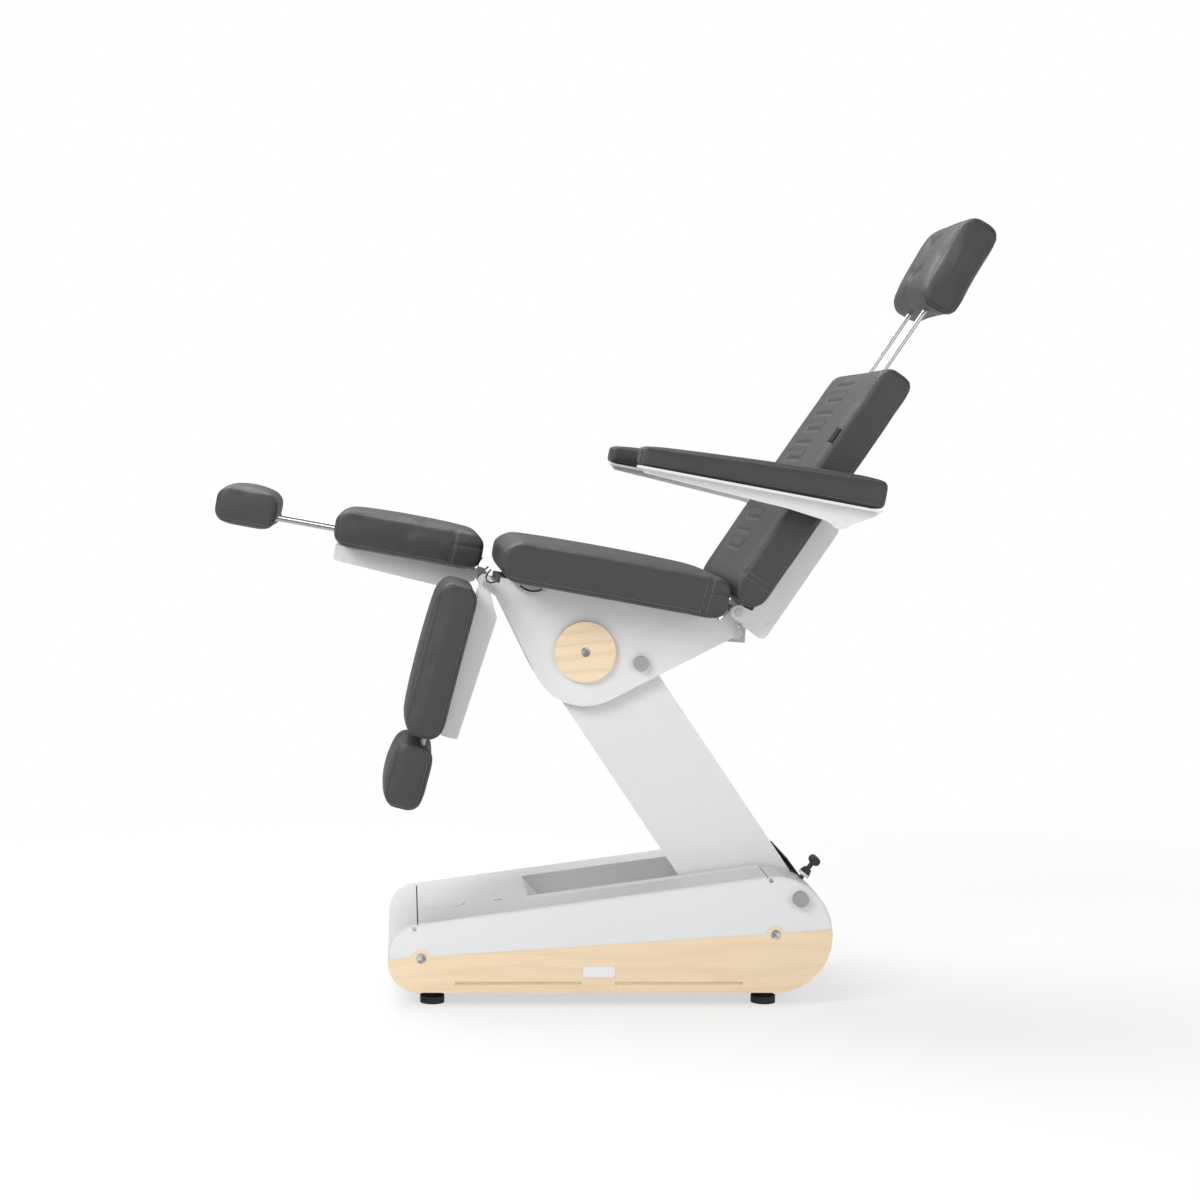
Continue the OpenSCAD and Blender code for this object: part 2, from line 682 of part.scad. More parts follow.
// The straight pieces end a little inside the round ones
tip_in_r = tip_r - 1;
ear_r = 13.5;
ear_in = ear_r - 1;
lean_share = [0.45, -0.89];
module seat_side() {
    difference() {
        union() {
            translate(top_pin) circle(r = plate_r);
            translate(plate_tip) circle(r = tip_r);
            polygon([on_seat(nose_in - seat_len / 2, over), plate_nose, touch(top_pin, plate_r,
                plate_nose, far),
                top_pin, touch(top_pin, plate_r, plate_tip + tip_r * lean_share, near),
                plate_tip + tip_r * lean_share,
                plate_tip + [tip_in_r, 0], on_seat(seat_len / 2 + 4, -deck_t - fit),
                    on_seat(seat_len / 2 - nose_in, over)]);
            translate(knee) circle(r = ear_r);
            polygon([knee + turned([0, -ear_in], seat_tilt), plate_nose,
                on_seat(2 * nose_in - seat_len / 2, -deck_t - fit),
                on_seat(-seat_len / 2 + 4, -deck_t - fit)]);
            translate(back_pin) circle(r = ear_r);
            polygon([on_seat(seat_len / 2 - nose_in, -deck_t - nose_in), back_pin + turned([-ear_in,
                0], seat_tilt),
                back_pin + turned([ear_in, 0], seat_tilt), plate_tip]);
        }
        polygon([for (q = [[near, 0], [far, 0], [far, 4], [near, 4]])
            on_seat(q[0] * (seat_len / 2 - 16), deck_t * q[1] - fit)]);
        translate(top_pin) circle(r = axle_r + run);
        translate(side_pin_at) circle(r = pin_r + run);
        translate(knee) circle(r = hinge_r + run);
        translate(back_pin) circle(r = hinge_r + run);
    }
}
module seat_plate(s) {
    color("whitesmoke") side(s * (frame_w - plate_t) / 2 - plate_t / 2, plate_t) seat_side();
}
module seat_plate_near() { seat_plate(near); }
module seat_plate_far() { seat_plate(far); }
drive_y = 68;
back_end = [-112, 768];
lever_at = back_pin + lever_pin;
module seat_deck() {
    color("dimgray") {
        at_seat() translate([-seat_len / 2 + 14, -frame_w / 2 + plate_t + fit, -deck_t])
            cube([seat_len - 34, frame_w - 2 * (plate_t + fit), deck_t]);
        deck_bracket(back_end, drive_y);
        deck_bracket(tilt_end, 0);
    }
}
// Two cheeks and a pin that hang a drive under the deck
module deck_bracket(at, y0) {
    under = [(at - seat_mid) * [cos(seat_tilt), -sin(seat_tilt)], -deck_t + fit];
    for (y = [y0 - link_y - 1 - bracket_t, y0 + link_y + 1]) side(y, bracket_t) {
        translate(at) circle(r = bracket_r - 4);
        polygon([at + [-bracket_r + 4, 0], at + [bracket_r - 4, 0], on_seat(under[0] + bracket_r, under[1]),
            on_seat(under[0] - bracket_r, under[1])]);
    }
    bar_y(at, pin_r, y0 - link_y - 1, 2 * (link_y + 1));
}
// Radius of the bolts in the middle of the discs
disc_bolt_r = 9.7;
module wood_discs() {
    color("burlywood") for (s = [near, far])
        side(s * (frame_w + disc[1]) / 2 - disc[1] / 2, disc[1]) difference() {
            ring(top_pin, disc[0], disc_bolt_r + run);
        }
}
module disc_bolts() {
    color("silver") for (s = [near, far])
        screw(top_pin, disc_bolt_r, s, frame_w / 2 + disc[1] + head_out, disc[1] + head_out);
}
module side_pins() {
    color("gray") for (s = [near, far]) {
        bar_y(side_pin_at, pin_r, s * (frame_w / 2 - plate_t) - plate_t * 1.5, plate_t * 3);
        bar_y(side_pin_at, axle_cap[0], s * (frame_w + axle_cap[1]) / 2 - axle_cap[1] / 2, axle_cap[1]);
    }
}
tilt_end = [128, 770];
tilt_top = top_pin + tilt_lever;
module tilt_actuator_body() { drive_body(tilt_end, tilt_top, 100, 0); }
module tilt_actuator_rod() { drive_rod(tilt_end, tilt_top, 52, 0); }
module back_actuator_body() { drive_body(back_end, lever_at, 250, drive_y); }
module back_actuator_rod() { drive_rod(back_end, lever_at, 130, drive_y); }
// The catch under the seat's near edge: place, arc radius, half its angle, bar radius and offsets
catch_x = 84 - seat_len / 2;
catch_r = 45;
catch_half = 38;
catch_bar = 4;
catch_post = 4.8;
catch_out = 16;
catch_end = 8;
module seat_catch() {
    drop = catch_r * cos(catch_half);
    color("silver") at_seat() {
        translate([catch_x, -frame_w / 2 - catch_out, drop - catch_end]) rotate([90, 0, 0])
            rotate(-catch_half - 90) rotate_extrude(angle = 2 * catch_half) translate([catch_r,
                0]) circle(r = catch_bar);
        for (s = [near, far])
            bar_y([catch_x + s * catch_r * sin(catch_half), -catch_end], catch_post,
                -frame_w / 2 - catch_out - catch_post,
                catch_out + catch_post);
    }
}
module knee_hinge_pin() {
    knee_half = leg_half + channel[0] / 2 + 2;
    color("gray") bar_y(knee, hinge_r, -knee_half, 2 * knee_half);
}

// One ring of the slab's outline, w wide and l long, with round corners
function ring_pt(k, n, l, w, r) = let (side_n = n / 4, c = floor(k / side_n),
    t = (k % side_n) / (side_n - 1),
        cx = [1, -1, -1, 1][c] * (l / 2 - r), cy = [1, 1, -1, -1][c] * (w / 2 - r), a = 90 * (c + t))
    [cx + r * cos(a), cy + r * sin(a)];
ring_n = 24;
// Corner radius of a cushion in plan, and the last two rings below the crown
plan_r = 16;
crown_in = [[1.2, 26], [1.9, 60, 0.62]];
// Below this width the insets at the sides shrink with the width
wide = 200;
// Shares of the thickness at which the rings lie, and how far each is drawn in there:
// at the ends as a share of the end's radius, and at the sides in mm
slab_shares = [[0, 1, 9], [0.045, 0.55, 4], [0.13, 0.22, 1], [0.25, 0, 0], [0.7, 0, 0],
    [0.84, 0.16, 1.5], [0.93, 0.45, 4], [0.98, 0.8, 11]];
// A stuffed slab: length along x, width along y, from z = 0 up to its crown.
// The sides bulge, the edges are drawn in at the seams and the top rises to a crown.
// A taper leans the upper part only, so that the walls stay upright
module slab(l, w, t, crown, end_r, low_share = 1) {
    taper = (1 - low_share) * t / l;
    n = ring_n;
    m = len(slab_shares) + 2;
    levels = concat([for (q = slab_shares) [t * q[0], end_r * q[1], q[2]]],
        [[t, end_r * crown_in[0][0], crown_in[0][1]], [t + crown * crown_in[1][2], end_r * crown_in[1][0],
            crown_in[1][1]]]);
    side_k = min(1, w / wide);
    pts = [for (j = [0 : m - 1]) for (k = [0 : n - 1])
        let (p = ring_pt(k, n, l - 2 * levels[j][1], w - 2 * side_k * levels[j][2], plan_r))
        [p[0], p[1], levels[j][0] - (levels[j][0] < t / 2 ? 0 : taper * (l / 2 - p[0]))]];
    top = [0, 0, t + crown - taper * l / 2];
    base_c = [0, 0, 0];
    all = concat(pts, [base_c, top]);
    faces = concat(
        [for (j = [0 : m - 2]) for (k = [0 : n - 1]) for (f = [0, 1]) let (q = (k + 1) % n)
            f == 0 ? [j * n + k, j * n + q, (j + 1) * n + q] : [j * n + k, (j + 1) * n + q,
                (j + 1) * n + k]],
        [for (k = [0 : n - 1]) [m * n, (k + 1) % n, k]],
        [for (k = [0 : n - 1]) [m * n + 1, (m - 1) * n + k, (m - 1) * n + (k + 1) % n]]);
    polyhedron(all, [for (f = faces) [f[2], f[1], f[0]]], convexity = 4);
}
crown = 9;
module seat_cushion() {
    color(cover_tone) at_seat() translate([0, 0, fit]) slab(seat_len, seat_w, seat_t - crown,
        crown, seat_end_r);
}

// The back's frame: d runs up along the back, n toward its rear
module at_back() {
    translate([back_pin[0], 0, back_pin[1]]) rotate([0, 90 - back_angle, 0]) children();
}
back_rear = 20;
back_front = back_rear - back_t;
plate_rear = back_rear + back_plate_d + 3;
board_t = 12;
module back_side() {
    difference() {
        union() {
            polygon(rounded([[back_rear + fit, -18, 0], [plate_rear, -20, 14], [plate_rear, 250, 10],
                [hub_at[1] + 26, 296, 8], [back_rear + fit, 300, 0]]));
            circle(r = hinge_r + 8);
            polygon([[0, -15], [back_rear + over, -15], [back_rear + over, 20], [0, 15]]);
        }
        circle(r = hinge_r + run);
        translate([hub_at[1] + 6, hub_at[0]]) circle(r = pin_r + run);
    }
}
lever_in_back = turned(lever_pin, back_angle - 90);
module back_lever() {
    translate(lever_in_back) circle(r = pin_r + 6);
    polygon([lever_in_back + [-12, 0], lever_in_back + [12, 0], [back_rear + 26, -16], [back_rear + 6,
        -16]]);
    polygon([[back_rear + 6, -16], [back_rear + 26, -16], [back_rear + 26, 40], [back_rear + board_t, 40],
        [back_rear + 6, 20]]);
}
module back_plates() {
    color("whitesmoke") at_back() {
        for (s = [near, far]) side(s * (back_frame_w - plate_t) / 2 - plate_t / 2, plate_t) back_side();
        translate([plate_rear - sheet_t, -back_frame_w / 2 + plate_t, 0])
            cube([sheet_t, back_frame_w - 2 * plate_t, 60]);
        for (y = [drive_y - link_y - 1 - bracket_t, drive_y + link_y + 1]) side(y, bracket_t) back_lever();
        translate([back_rear + 12 + fit, -back_frame_w / 2 + plate_t, 20])
            cube([14, back_frame_w - 2 * plate_t, 20]);
        bar_y(lever_in_back, pin_r, drive_y - link_y - 1, 2 * (link_y + 1));
    }
    color("silver") at_back() for (s = [near, far])
        screw([plate_rear - plate_screw[0], plate_screw[1]], arm_screw_r, s,
            (back_frame_w + small_head) / 2, small_head / 2);
}
// Place of the plates' small screw in from their rear edge and up from the hinge
plate_screw = [11, 16];
module back_board() {
    color("dimgray") at_back() translate([back_rear + fit, -back_frame_w / 2 + plate_t + fit, 42])
        cube([board_t, back_frame_w - 2 * (plate_t + fit), back_len - 80]);
}
module back_hinge_pin() {
    color("gray") bar_y(back_pin, hinge_r, -back_frame_w / 2 - 2, back_frame_w + 4);
}
rods_n = -24;
guide_t = 3;
guide_len = 270;
module head_guides() {
    color("dimgray") at_back() for (s = [near, far])
        translate([rods_n, s * rod_half, back_len + soft - guide_len]) difference() {
            cylinder(r = rod_r + guide_t, h = guide_len);
            translate([0, 0, -over]) cylinder(r = rod_r + run, h = guide_len + 2 * over);
        }
}
module back_cushion() {
    color(cover_tone) at_back() difference() {
        translate([back_rear, 0, back_len / 2 + 4]) rotate([0, -90, 0])
            slab(back_len - 8, back_w, back_t - crown, crown, back_end_r);
        for (s = [near, far]) translate([rods_n, s * rod_half, back_len - guide_len - 150])
            cylinder(r = rod_r + guide_t + fit, h = guide_len + 200);
        side(-back_w, 2 * back_w) polygon(lower_cut);
        side(-back_frame_w / 2 - soft, back_frame_w + 2 * soft) polygon(knuckle_cut);
    }
}
// Where the back cushion is cut away for the seat cushion, and for the hinge and plates
lower_cut = [[2 * back_front, -60], [2 * back_front, 90], [back_front - 1, 90], [-48, 58], [-27, 3],
    [-27, -60]];
knuckle_cut = [[-16, -60], [-16, 17], [-4, 26], [60, 26], [60, -60]];
hub_bar_r = 11;
module armrest_hubs() {
    color("gray") at_back() for (s = [near, far]) {
        y0 = back_frame_w / 2;
        y1 = pad_half - fit;
        bar_y([hub_at[1], hub_at[0]], hub_bar_r, s * (y0 + y1) / 2 - (y1 - y0) / 2, y1 - y0);
    }
}

// The headrest
module head_rods() {
    color("silver") at_back() for (s = [near, far]) translate([rods_n, s * rod_half, back_len - 96])
        cylinder(r = rod_r, h = 96 + head_gap + 10);
}
module head_cushion() {
    color(cover_tone) at_back() difference() {
        translate([rods_n, 0, back_len + head_gap]) rotate([0, -90 - head_lean, 0])
            translate([head_size[0] / 2, 0, -head_size[2] / 2])
                slab(head_size[0], head_size[1], head_size[2] - crown, crown, head_end_r);
        for (s = [near, far]) translate([rods_n, s * rod_half, back_len + head_gap - over])
            cylinder(r = rod_r + fit, h = 30);
    }
}

// The armrests, drawn about the hub: x runs to the rear, z up from the hub
hub = back_pin + turned([hub_at[1], hub_at[0]], 90 - back_angle);
module at_armrest(s) {
    translate([hub[0], s * pad_half, hub[1]]) rotate([0, arm_rest_slope, 0]) children();
}
pad_rear = 78;
flange_t = 5;
// Screws of the hub's flange on the armrest's outer face, about the hub in X and Z
arm_screws = [[-14, 12.6], [8.6, -5.7], [-14, -15.4]];
arm_screw_r = 4;
module armrest_frame(s) {
    color("silver") at_armrest(s) for (q = arm_screws)
        screw(q, arm_screw_r, s, (web_t + small_head) / 2, small_head / 2);
    color("whitesmoke") at_armrest(s) {
        difference() {
            side(-web_t / 2, web_t) union() {
                polygon([[pad_rear - pad_size[0] + 12, pad_up - flange_t],
                    [pad_rear - pad_size[0] + 20, pad_up - 14],
                    [-150, -2], [-110, -4], [-30, -14], [0, -26], [pad_rear - 12, pad_up - 14],
                    [pad_rear - 4, pad_up - flange_t]]);
                circle(r = 26);
            }
            bar_y([0, 0], hub_bar_r + run, -s * (web_t / 2 + over) / 2 - (web_t / 2 + over) / 2,
                web_t / 2 + over);
        }
        translate([pad_rear - pad_size[0] + 6, -pad_size[1] / 2 + 8, pad_up - flange_t - fit])
            cube([pad_size[0] - 12, pad_size[1] - 16, flange_t]);
    }
}
module armrest_pad(s) {
    color(cover_tone) at_armrest(s) translate([pad_rear - pad_size[0] / 2, 0, pad_up])
        slab(pad_size[0], pad_size[1], pad_t[1] - crown / 2, crown / 2, pad_end_r, pad_t[0] / pad_t[1]);
}
module armrest_frame_near() { armrest_frame(near); }
module armrest_frame_far() { armrest_frame(far); }
module armrest_pad_near() { armrest_pad(near); }
module armrest_pad_far() { armrest_pad(far); }

// The leg rests, drawn about the knee hinge with the leg pointing to -x
leg_half = (leg_size[1] + leg_gap) / 2;
function leg_turn(s) = s > 0 ? far_leg : -near_leg;
module at_leg(s) {
    translate([knee[0], s * leg_half, knee[1]]) rotate([0, leg_turn(s), 0]) children();
}
channel_t = 3;
channel_deep = 50;
// The near cheek stands in from the channel's edge
channel_in = 30;
leg_screw = [30 - leg_size[0], -18];
module leg_side() {
    difference() {
        union() {
            polygon(rounded([[-leg_size[0] + 10, leg_up - fit, 0], [-leg_size[0] + 10,
                leg_up - channel[1], 6],
                [-62, leg_up - channel_deep, 12], [-14, -12, 4], [-12, leg_up - fit, 0]]));
            circle(r = hinge_r + 6);
        }
        circle(r = hinge_r + run);
    }
}
module leg_frame(s) {
    color("whitesmoke") at_leg(s) {
        for (y = [channel_in - channel[0] / 2, channel[0] / 2 - channel_t]) side(y, channel_t) leg_side();
        translate([-leg_size[0] + 10, channel_in - channel[0] / 2, leg_up - fit - channel_t])
            cube([leg_size[0] - 26, channel[0] - channel_in, channel_t]);
    }
    color("silver") at_leg(s) {
        screw(leg_screw, small_screw_r, far, (channel[0] + small_head) / 2, small_head / 2);
        screw(leg_screw, small_screw_r, near, (channel[0] + small_head) / 2 - channel_in, small_head / 2);
    }
}
module leg_frame_near() { leg_frame(near); }
module leg_frame_far() { leg_frame(far); }
module leg_cushion(s) {
    color(cover_tone) at_leg(s) difference() {
        translate([-leg_size[0] / 2 - 4, 0, leg_up]) slab(leg_size[0], leg_size[1],
            leg_size[2] - crown, crown, leg_end_r);
        for (y = [-rod_half, rod_half]) translate([-leg_size[0] - 40, y, rod_up]) rotate([0, 90, 0])
            cylinder(r = rod_r + fit * 2, h = leg_size[0]);
    }
}
module leg_cushion_near() { leg_cushion(near); }
module leg_cushion_far() { leg_cushion(far); }
function foot_x(s) = -leg_size[0] - 4 - (s > 0 ? foot_out[0] : foot_out[1]);
// Lengths of a rod inside the foot pad and inside the leg cushion with the pad drawn in
rod_in_pad = 30;
rod_in_leg = 80;
module foot_rods(s) {
    color("silver") at_leg(s) for (y = [-rod_half, rod_half])
        translate([foot_x(s) - rod_in_pad, y, rod_up]) rotate([0, 90, 0]) cylinder(r = rod_r,
            h = rod_in_pad + foot_out[0] + rod_in_leg);
}
module foot_rods_near() { foot_rods(near); }
module foot_rods_far() { foot_rods(far); }
module foot_pad(s) {
    color(cover_tone) at_leg(s) difference() {
        translate([foot_x(s) - foot_size[0] / 2, 0, leg_up + 5]) slab(foot_size[0], foot_size[1],
            foot_size[2] - crown, crown, foot_end_r);
        for (y = [-rod_half, rod_half]) translate([foot_x(s) - 31, y, rod_up]) rotate([0, 90, 0])
            cylinder(r = rod_r + fit, h = 40);
    }
}
module foot_pad_near() { foot_pad(near); }
module foot_pad_far() { foot_pad(far); }

floor_frame();
wood_panel_near();
wood_panel_far();
side_cover_near();
side_cover_far();
top_cover();
front_end_cover();
rear_end_cover();
arm_well();
levelling_feet();
panel_screws();
badge_plates();
axle_bearings();
axle_caps();
control_box();
mains_inlet();
hand_control_sockets();
foot_button();
t_handle();
arm_boot();
lift_actuator_body();
lift_actuator_rod();
arm_shell();
lower_axle();
upper_axle();
levelling_link();
levelling_carrier();
seat_plate_near();
seat_plate_far();
seat_deck();
wood_discs();
disc_bolts();
side_pins();
tilt_actuator_body();
tilt_actuator_rod();
back_actuator_body();
back_actuator_rod();
seat_catch();
knee_hinge_pin();
seat_cushion();
back_plates();
back_board();
back_hinge_pin();
head_guides();
back_cushion();
armrest_hubs();
head_rods();
head_cushion();
armrest_frame_near();
armrest_frame_far();
armrest_pad_near();
armrest_pad_far();
leg_frame_near();
leg_frame_far();
leg_cushion_near();
leg_cushion_far();
foot_rods_near();
foot_rods_far();
foot_pad_near();
foot_pad_far();
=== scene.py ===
import math

import bmesh
import bpy
import numpy as np
from mathutils import Matrix, Vector
from mathutils.bvhtree import BVHTree


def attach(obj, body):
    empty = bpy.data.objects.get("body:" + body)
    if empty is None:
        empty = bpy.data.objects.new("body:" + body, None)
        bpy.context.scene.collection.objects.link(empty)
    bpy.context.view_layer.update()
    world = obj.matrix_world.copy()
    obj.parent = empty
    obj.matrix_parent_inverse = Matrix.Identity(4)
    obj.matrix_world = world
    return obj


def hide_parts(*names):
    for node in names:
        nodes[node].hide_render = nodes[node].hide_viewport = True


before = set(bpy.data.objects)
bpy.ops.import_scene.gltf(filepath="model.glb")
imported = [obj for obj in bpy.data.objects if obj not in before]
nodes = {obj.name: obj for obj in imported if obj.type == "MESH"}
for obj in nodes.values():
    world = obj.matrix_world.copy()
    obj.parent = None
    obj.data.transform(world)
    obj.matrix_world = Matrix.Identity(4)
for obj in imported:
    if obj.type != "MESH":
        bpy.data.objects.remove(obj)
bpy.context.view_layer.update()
print("frame loaded:", len(nodes), "nodes")


def link(obj):
    bpy.context.scene.collection.objects.link(obj)
    return obj


# The camera comes first: the photograph's side view
cameraSettings = {"place": (-0.401, -5.0, 1.141), "lens": 70.5, "sensor": 36.0,
                  "shift": (0.165, -0.129), "tilt": 90}
cameraData = bpy.data.cameras.new("photoCamera")
cameraData.lens = cameraSettings["lens"]
cameraData.sensor_width = cameraSettings["sensor"]
cameraData.shift_x, cameraData.shift_y = cameraSettings["shift"]
camera = link(bpy.data.objects.new("photoCamera", cameraData))
camera.location = cameraSettings["place"]
camera.rotation_euler = (math.radians(cameraSettings["tilt"]), 0, 0)
bpy.context.scene.camera = camera


# Shader maths: a socket that adds its Math nodes when it is used in a sum
class Val:
    def __init__(self, tree, socket):
        self.tree, self.socket = tree, socket

    def op(self, kind, *others):
        return self.tree.make("ShaderNodeMath", {"operation": kind}, dict(enumerate([self, *others])))

    def swapped(self, kind, other):
        return self.tree.make("ShaderNodeMath", {"operation": kind}, {0: other, 1: self})

    def also(self, name):  # another output of the same node
        return Val(self.tree, self.socket.node.outputs[name])

    def clamp(self):
        return self.tree.make("ShaderNodeClamp", {}, {"Value": self})

    def __add__(self, other):
        return self.op("ADD", other)

    def __radd__(self, other):
        return self.op("ADD", other)

    def __sub__(self, other):
        return self.op("SUBTRACT", other)

    def __rsub__(self, other):
        return self.swapped("SUBTRACT", other)

    def __mul__(self, other):
        return self.op("MULTIPLY", other)

    def __rmul__(self, other):
        return self.op("MULTIPLY", other)

    def __truediv__(self, other):
        return self.op("DIVIDE", other)

    def __rtruediv__(self, other):
        return self.swapped("DIVIDE", other)

    def __pow__(self, other):
        return self.op("POWER", other)

    def __rpow__(self, other):
        return self.swapped("POWER", other)


# One node tree, a material's or the world's
class Tree:
    def __init__(self, name, world=False):
        self.owner = bpy.data.worlds.new(name) if world else bpy.data.materials.new(name)
        self.owner.use_nodes = True
        self.nodes = self.owner.node_tree.nodes
        self.links = self.owner.node_tree.links
        self.nodes.clear()

    def make(self, kind, settings=None, inputs=None, out=0):
        node = self.nodes.new(kind)
        for key, value in (settings or {}).items():
            if key == "stops":
                self.setStops(node.color_ramp.elements, value)
            else:
                setattr(node, key, value)
        for key, value in (inputs or {}).items():
            socket = node.inputs[key]
            if isinstance(value, Val):
                self.links.new(value.socket, socket)
            elif socket.type == "RGBA":
                socket.default_value = (*value, 1)
            else:
                socket.default_value = value
        return Val(self, node.outputs[out]) if len(node.outputs) else None

    def setStops(self, elements, stops):
        while len(elements) < len(stops):
            elements.new(0.5)
        for element, (place, colour) in zip(elements, stops):
            element.position = place
            element.color = (*colour, 1)

    def coords(self):
        return self.make("ShaderNodeTexCoord", out="Object")

    def stretch(self, vector, scale, turn=(0, 0, 0)):
        return self.make("ShaderNodeMapping", {}, {"Vector": vector, "Scale": scale, "Rotation": turn})

    def noise(self, vector, scale, detail=3.0, rough=0.5, warp=0.0):
        return self.make("ShaderNodeTexNoise", {}, {"Vector": vector, "Scale": scale, "Detail": detail,
                                                     "Roughness": rough, "Distortion": warp})

    def cells(self, vector, scale, feature):
        return self.make("ShaderNodeTexVoronoi", {"feature": feature}, {"Vector": vector, "Scale": scale})

    def ramp(self, value, stops):
        return self.make("ShaderNodeValToRGB", {"stops": stops}, {"Fac": value})

    def mask(self, value, low, high):
        return self.ramp(value, [(low, (0, 0, 0)), (high, (1, 1, 1))])

    def edges(self, high):  # bright on ridges and rims
        return self.mask(self.make("ShaderNodeNewGeometry", out="Pointiness"), 0.5, high)

    def mix(self, factor, a, b):  # 6, 7 and 2 are the Mix node's colour sockets
        settings = {"data_type": "RGBA", "blend_type": "MIX"}
        return self.make("ShaderNodeMix", settings, {0: factor, 6: a, 7: b}, out=2)

    def bump(self, height, strength, distance, normal=None):
        inputs = {"Height": height, "Strength": strength, "Distance": distance}
        if normal is not None:
            inputs["Normal"] = normal
        return self.make("ShaderNodeBump", {}, inputs)

    def finish(self, colour, rough, normal, **plain):
        inputs = {"Base Color": colour, "Roughness": rough, "Normal": normal, **plain}
        return self.close(self.make("ShaderNodeBsdfPrincipled", {}, inputs))

    def close(self, shader, kind="ShaderNodeOutputMaterial"):
        self.make(kind, {}, {0: shader})
        return self.owner


# A tone made darker or lighter
def shaded(tone, factor, plus=0.0):
    return tuple(min(1, v * factor + plus) for v in tone)


# Powder coat: a fine orange peel, and a slightly cloudy gloss
def powderCoat(name, tone, rough=0.42, cloud=0.03):
    t = Tree(name)
    c = t.coords()
    peel = t.noise(c, 520.0, 2.0)
    broad = t.noise(c, 3.2, 3.0)
    dust = t.noise(c, 60.0, 4.0, 0.6)
    shade = t.ramp(broad * 0.7 + dust * 0.3, [(0.3, shaded(tone, 1 - cloud)), (0.72, tone)])
    shade = t.mix(t.edges(0.62) * 0.22, shade, shaded(tone, 1.05))
    return t.finish(shade, rough - 0.05 + broad * 0.1, t.bump(peel, 0.16, 0.0004))


# Pale ash: long plain grain, rings opened by slow noise, fine pores and a satin lacquer
def paleWood(name, turn=(0, 0, 0), rings=26.0, share=0.2,
             light=(0.85, 0.69, 0.49), dark=(0.74, 0.545, 0.335)):
    t = Tree(name)
    c = t.stretch(t.coords(), (1.0, 1.0, 1.0), turn)
    flow = t.noise(t.stretch(c, (0.9, 2.6, 4.4)), 3.1, 2.0)
    lines = t.noise(t.stretch(c, (1.1, 30.0, 62.0)), 3.6, 5.0, 0.62, 0.3)
    height = t.make("ShaderNodeSeparateXYZ", {}, {"Vector": c}, out="Z")
    wave = (height * rings * 6.28 + flow * 17.0).op("SINE") * 0.5 + 0.5
    streak = (wave ** 2.2) * share + lines * (1 - share)
    between = tuple(a * 0.6 + b * 0.4 for a, b in zip(light, dark))
    colour = t.ramp(streak, [(0.16, light), (0.5, between), (0.86, dark)])
    patches = t.noise(t.stretch(c, (1.2, 3.0, 3.0)), 2.2, 2.0)
    colour = t.mix(patches * 0.28, colour, (0.88, 0.74, 0.52))
    pores = t.noise(t.stretch(c, (5.0, 90.0, 190.0)), 6.0, 3.0, 0.7)
    poreMask = t.mask(pores, 0.60, 0.70)
    colour = t.mix(poreMask * 0.30, colour, shaded(dark, 0.78))
    normal = t.bump(lines * 0.5 + poreMask * -0.5, 0.16, 0.0005)
    return t.finish(colour, 0.46 + lines * 0.10, normal)


# Leatherette: pebbled grain from two cell sizes, soft cloudiness, paler pebble tops and much paler rims
def leatherette(name, tone=(0.035, 0.035, 0.036), grain=1.0):
    t = Tree(name)
    c = t.coords()
    warp = t.noise(c, 90.0, 2.0)
    moved = t.make("ShaderNodeVectorMath", {"operation": "MULTIPLY_ADD"}, {0: warp, 1: (0.004,) * 3, 2: c})
    large = t.cells(moved, 520.0, "DISTANCE_TO_EDGE")
    small = t.cells(moved, 1100.0, "F1")
    folds = t.noise(c, 34.0, 4.0, 0.6, 0.6)
    broad = t.noise(c, 5.0, 3.0)
    ridge = (large * 4.0).clamp()
    colour = t.ramp(broad * 0.6 + folds * 0.4, [(0.28, shaded(tone, 0.86)), (0.75, shaded(tone, 1.16))])
    colour = t.mix(ridge * 0.30, colour, shaded(tone, 1.35))
    colour = t.mix(t.edges(0.66) * 0.30, colour, shaded(tone, 1.9))
    normal = t.bump(ridge * 0.62 + small * 0.2 + folds * 0.35, 0.26 * grain, 0.0007)
    normal = t.bump(broad, 0.12, 0.006, normal)
    return t.finish(colour, 0.50 + folds * 0.10 - ridge * 0.05, normal)


# Twisted sewing thread
def threadFinish(name, tone):
    t = Tree(name)
    c = t.coords()
    twist = t.noise(t.stretch(c, (1, 1, 1), (0.4, 0.9, 0.2)), 1900.0, 2.0)
    fuzz = t.noise(c, 300.0, 2.0)
    colour = t.ramp(twist * 0.7 + fuzz * 0.3, [(0.3, shaded(tone, 0.7)), (0.7, shaded(tone, 1.2))])
    return t.finish(colour, 0.72, t.bump(twist, 0.4, 0.0003))


# Turned or brushed metal, with hairlines along one direction, faint smudges and, where low is small, dark and
# bright patches painted in as reflection
def metalFinish(name, tone, rough, hair=(1.0, 60.0, 60.0), strength=0.06, low=0.93):
    t = Tree(name)
    c = t.coords()
    lines = t.noise(t.stretch(c, hair), 42.0, 3.0, 0.6)
    # Smudge noise: faint real smudges, and on the screws' steel a painted reflection of dark and bright
    # sectors
    smudgeAndReflection = t.noise(c, 90.0, 1.0)
    colour = t.ramp(smudgeAndReflection, [(0.38, shaded(tone, low)), (0.62, tone)])
    normal = t.bump(lines, strength, 0.0003)
    return t.finish(colour, rough + lines * 0.07 + smudgeAndReflection * 0.05, normal, Metallic=1.0)


# Moulded plastic or rubber: spark-eroded texture, faint colour drift
def mouldedFinish(name, tone, rough, grain=700.0, strength=0.2):
    t = Tree(name)
    c = t.coords()
    spark = t.noise(c, grain, 3.0, 0.6)
    drift = t.noise(c, 8.0, 3.0)
    colour = t.ramp(drift, [(0.3, shaded(tone, 0.88)), (0.72, shaded(tone, 1.1))])
    colour = t.mix(t.edges(0.64) * 0.2, colour, shaded(tone, 1.35, 0.01))
    return t.finish(colour, rough + spark * 0.12, t.bump(spark, strength, 0.0003))


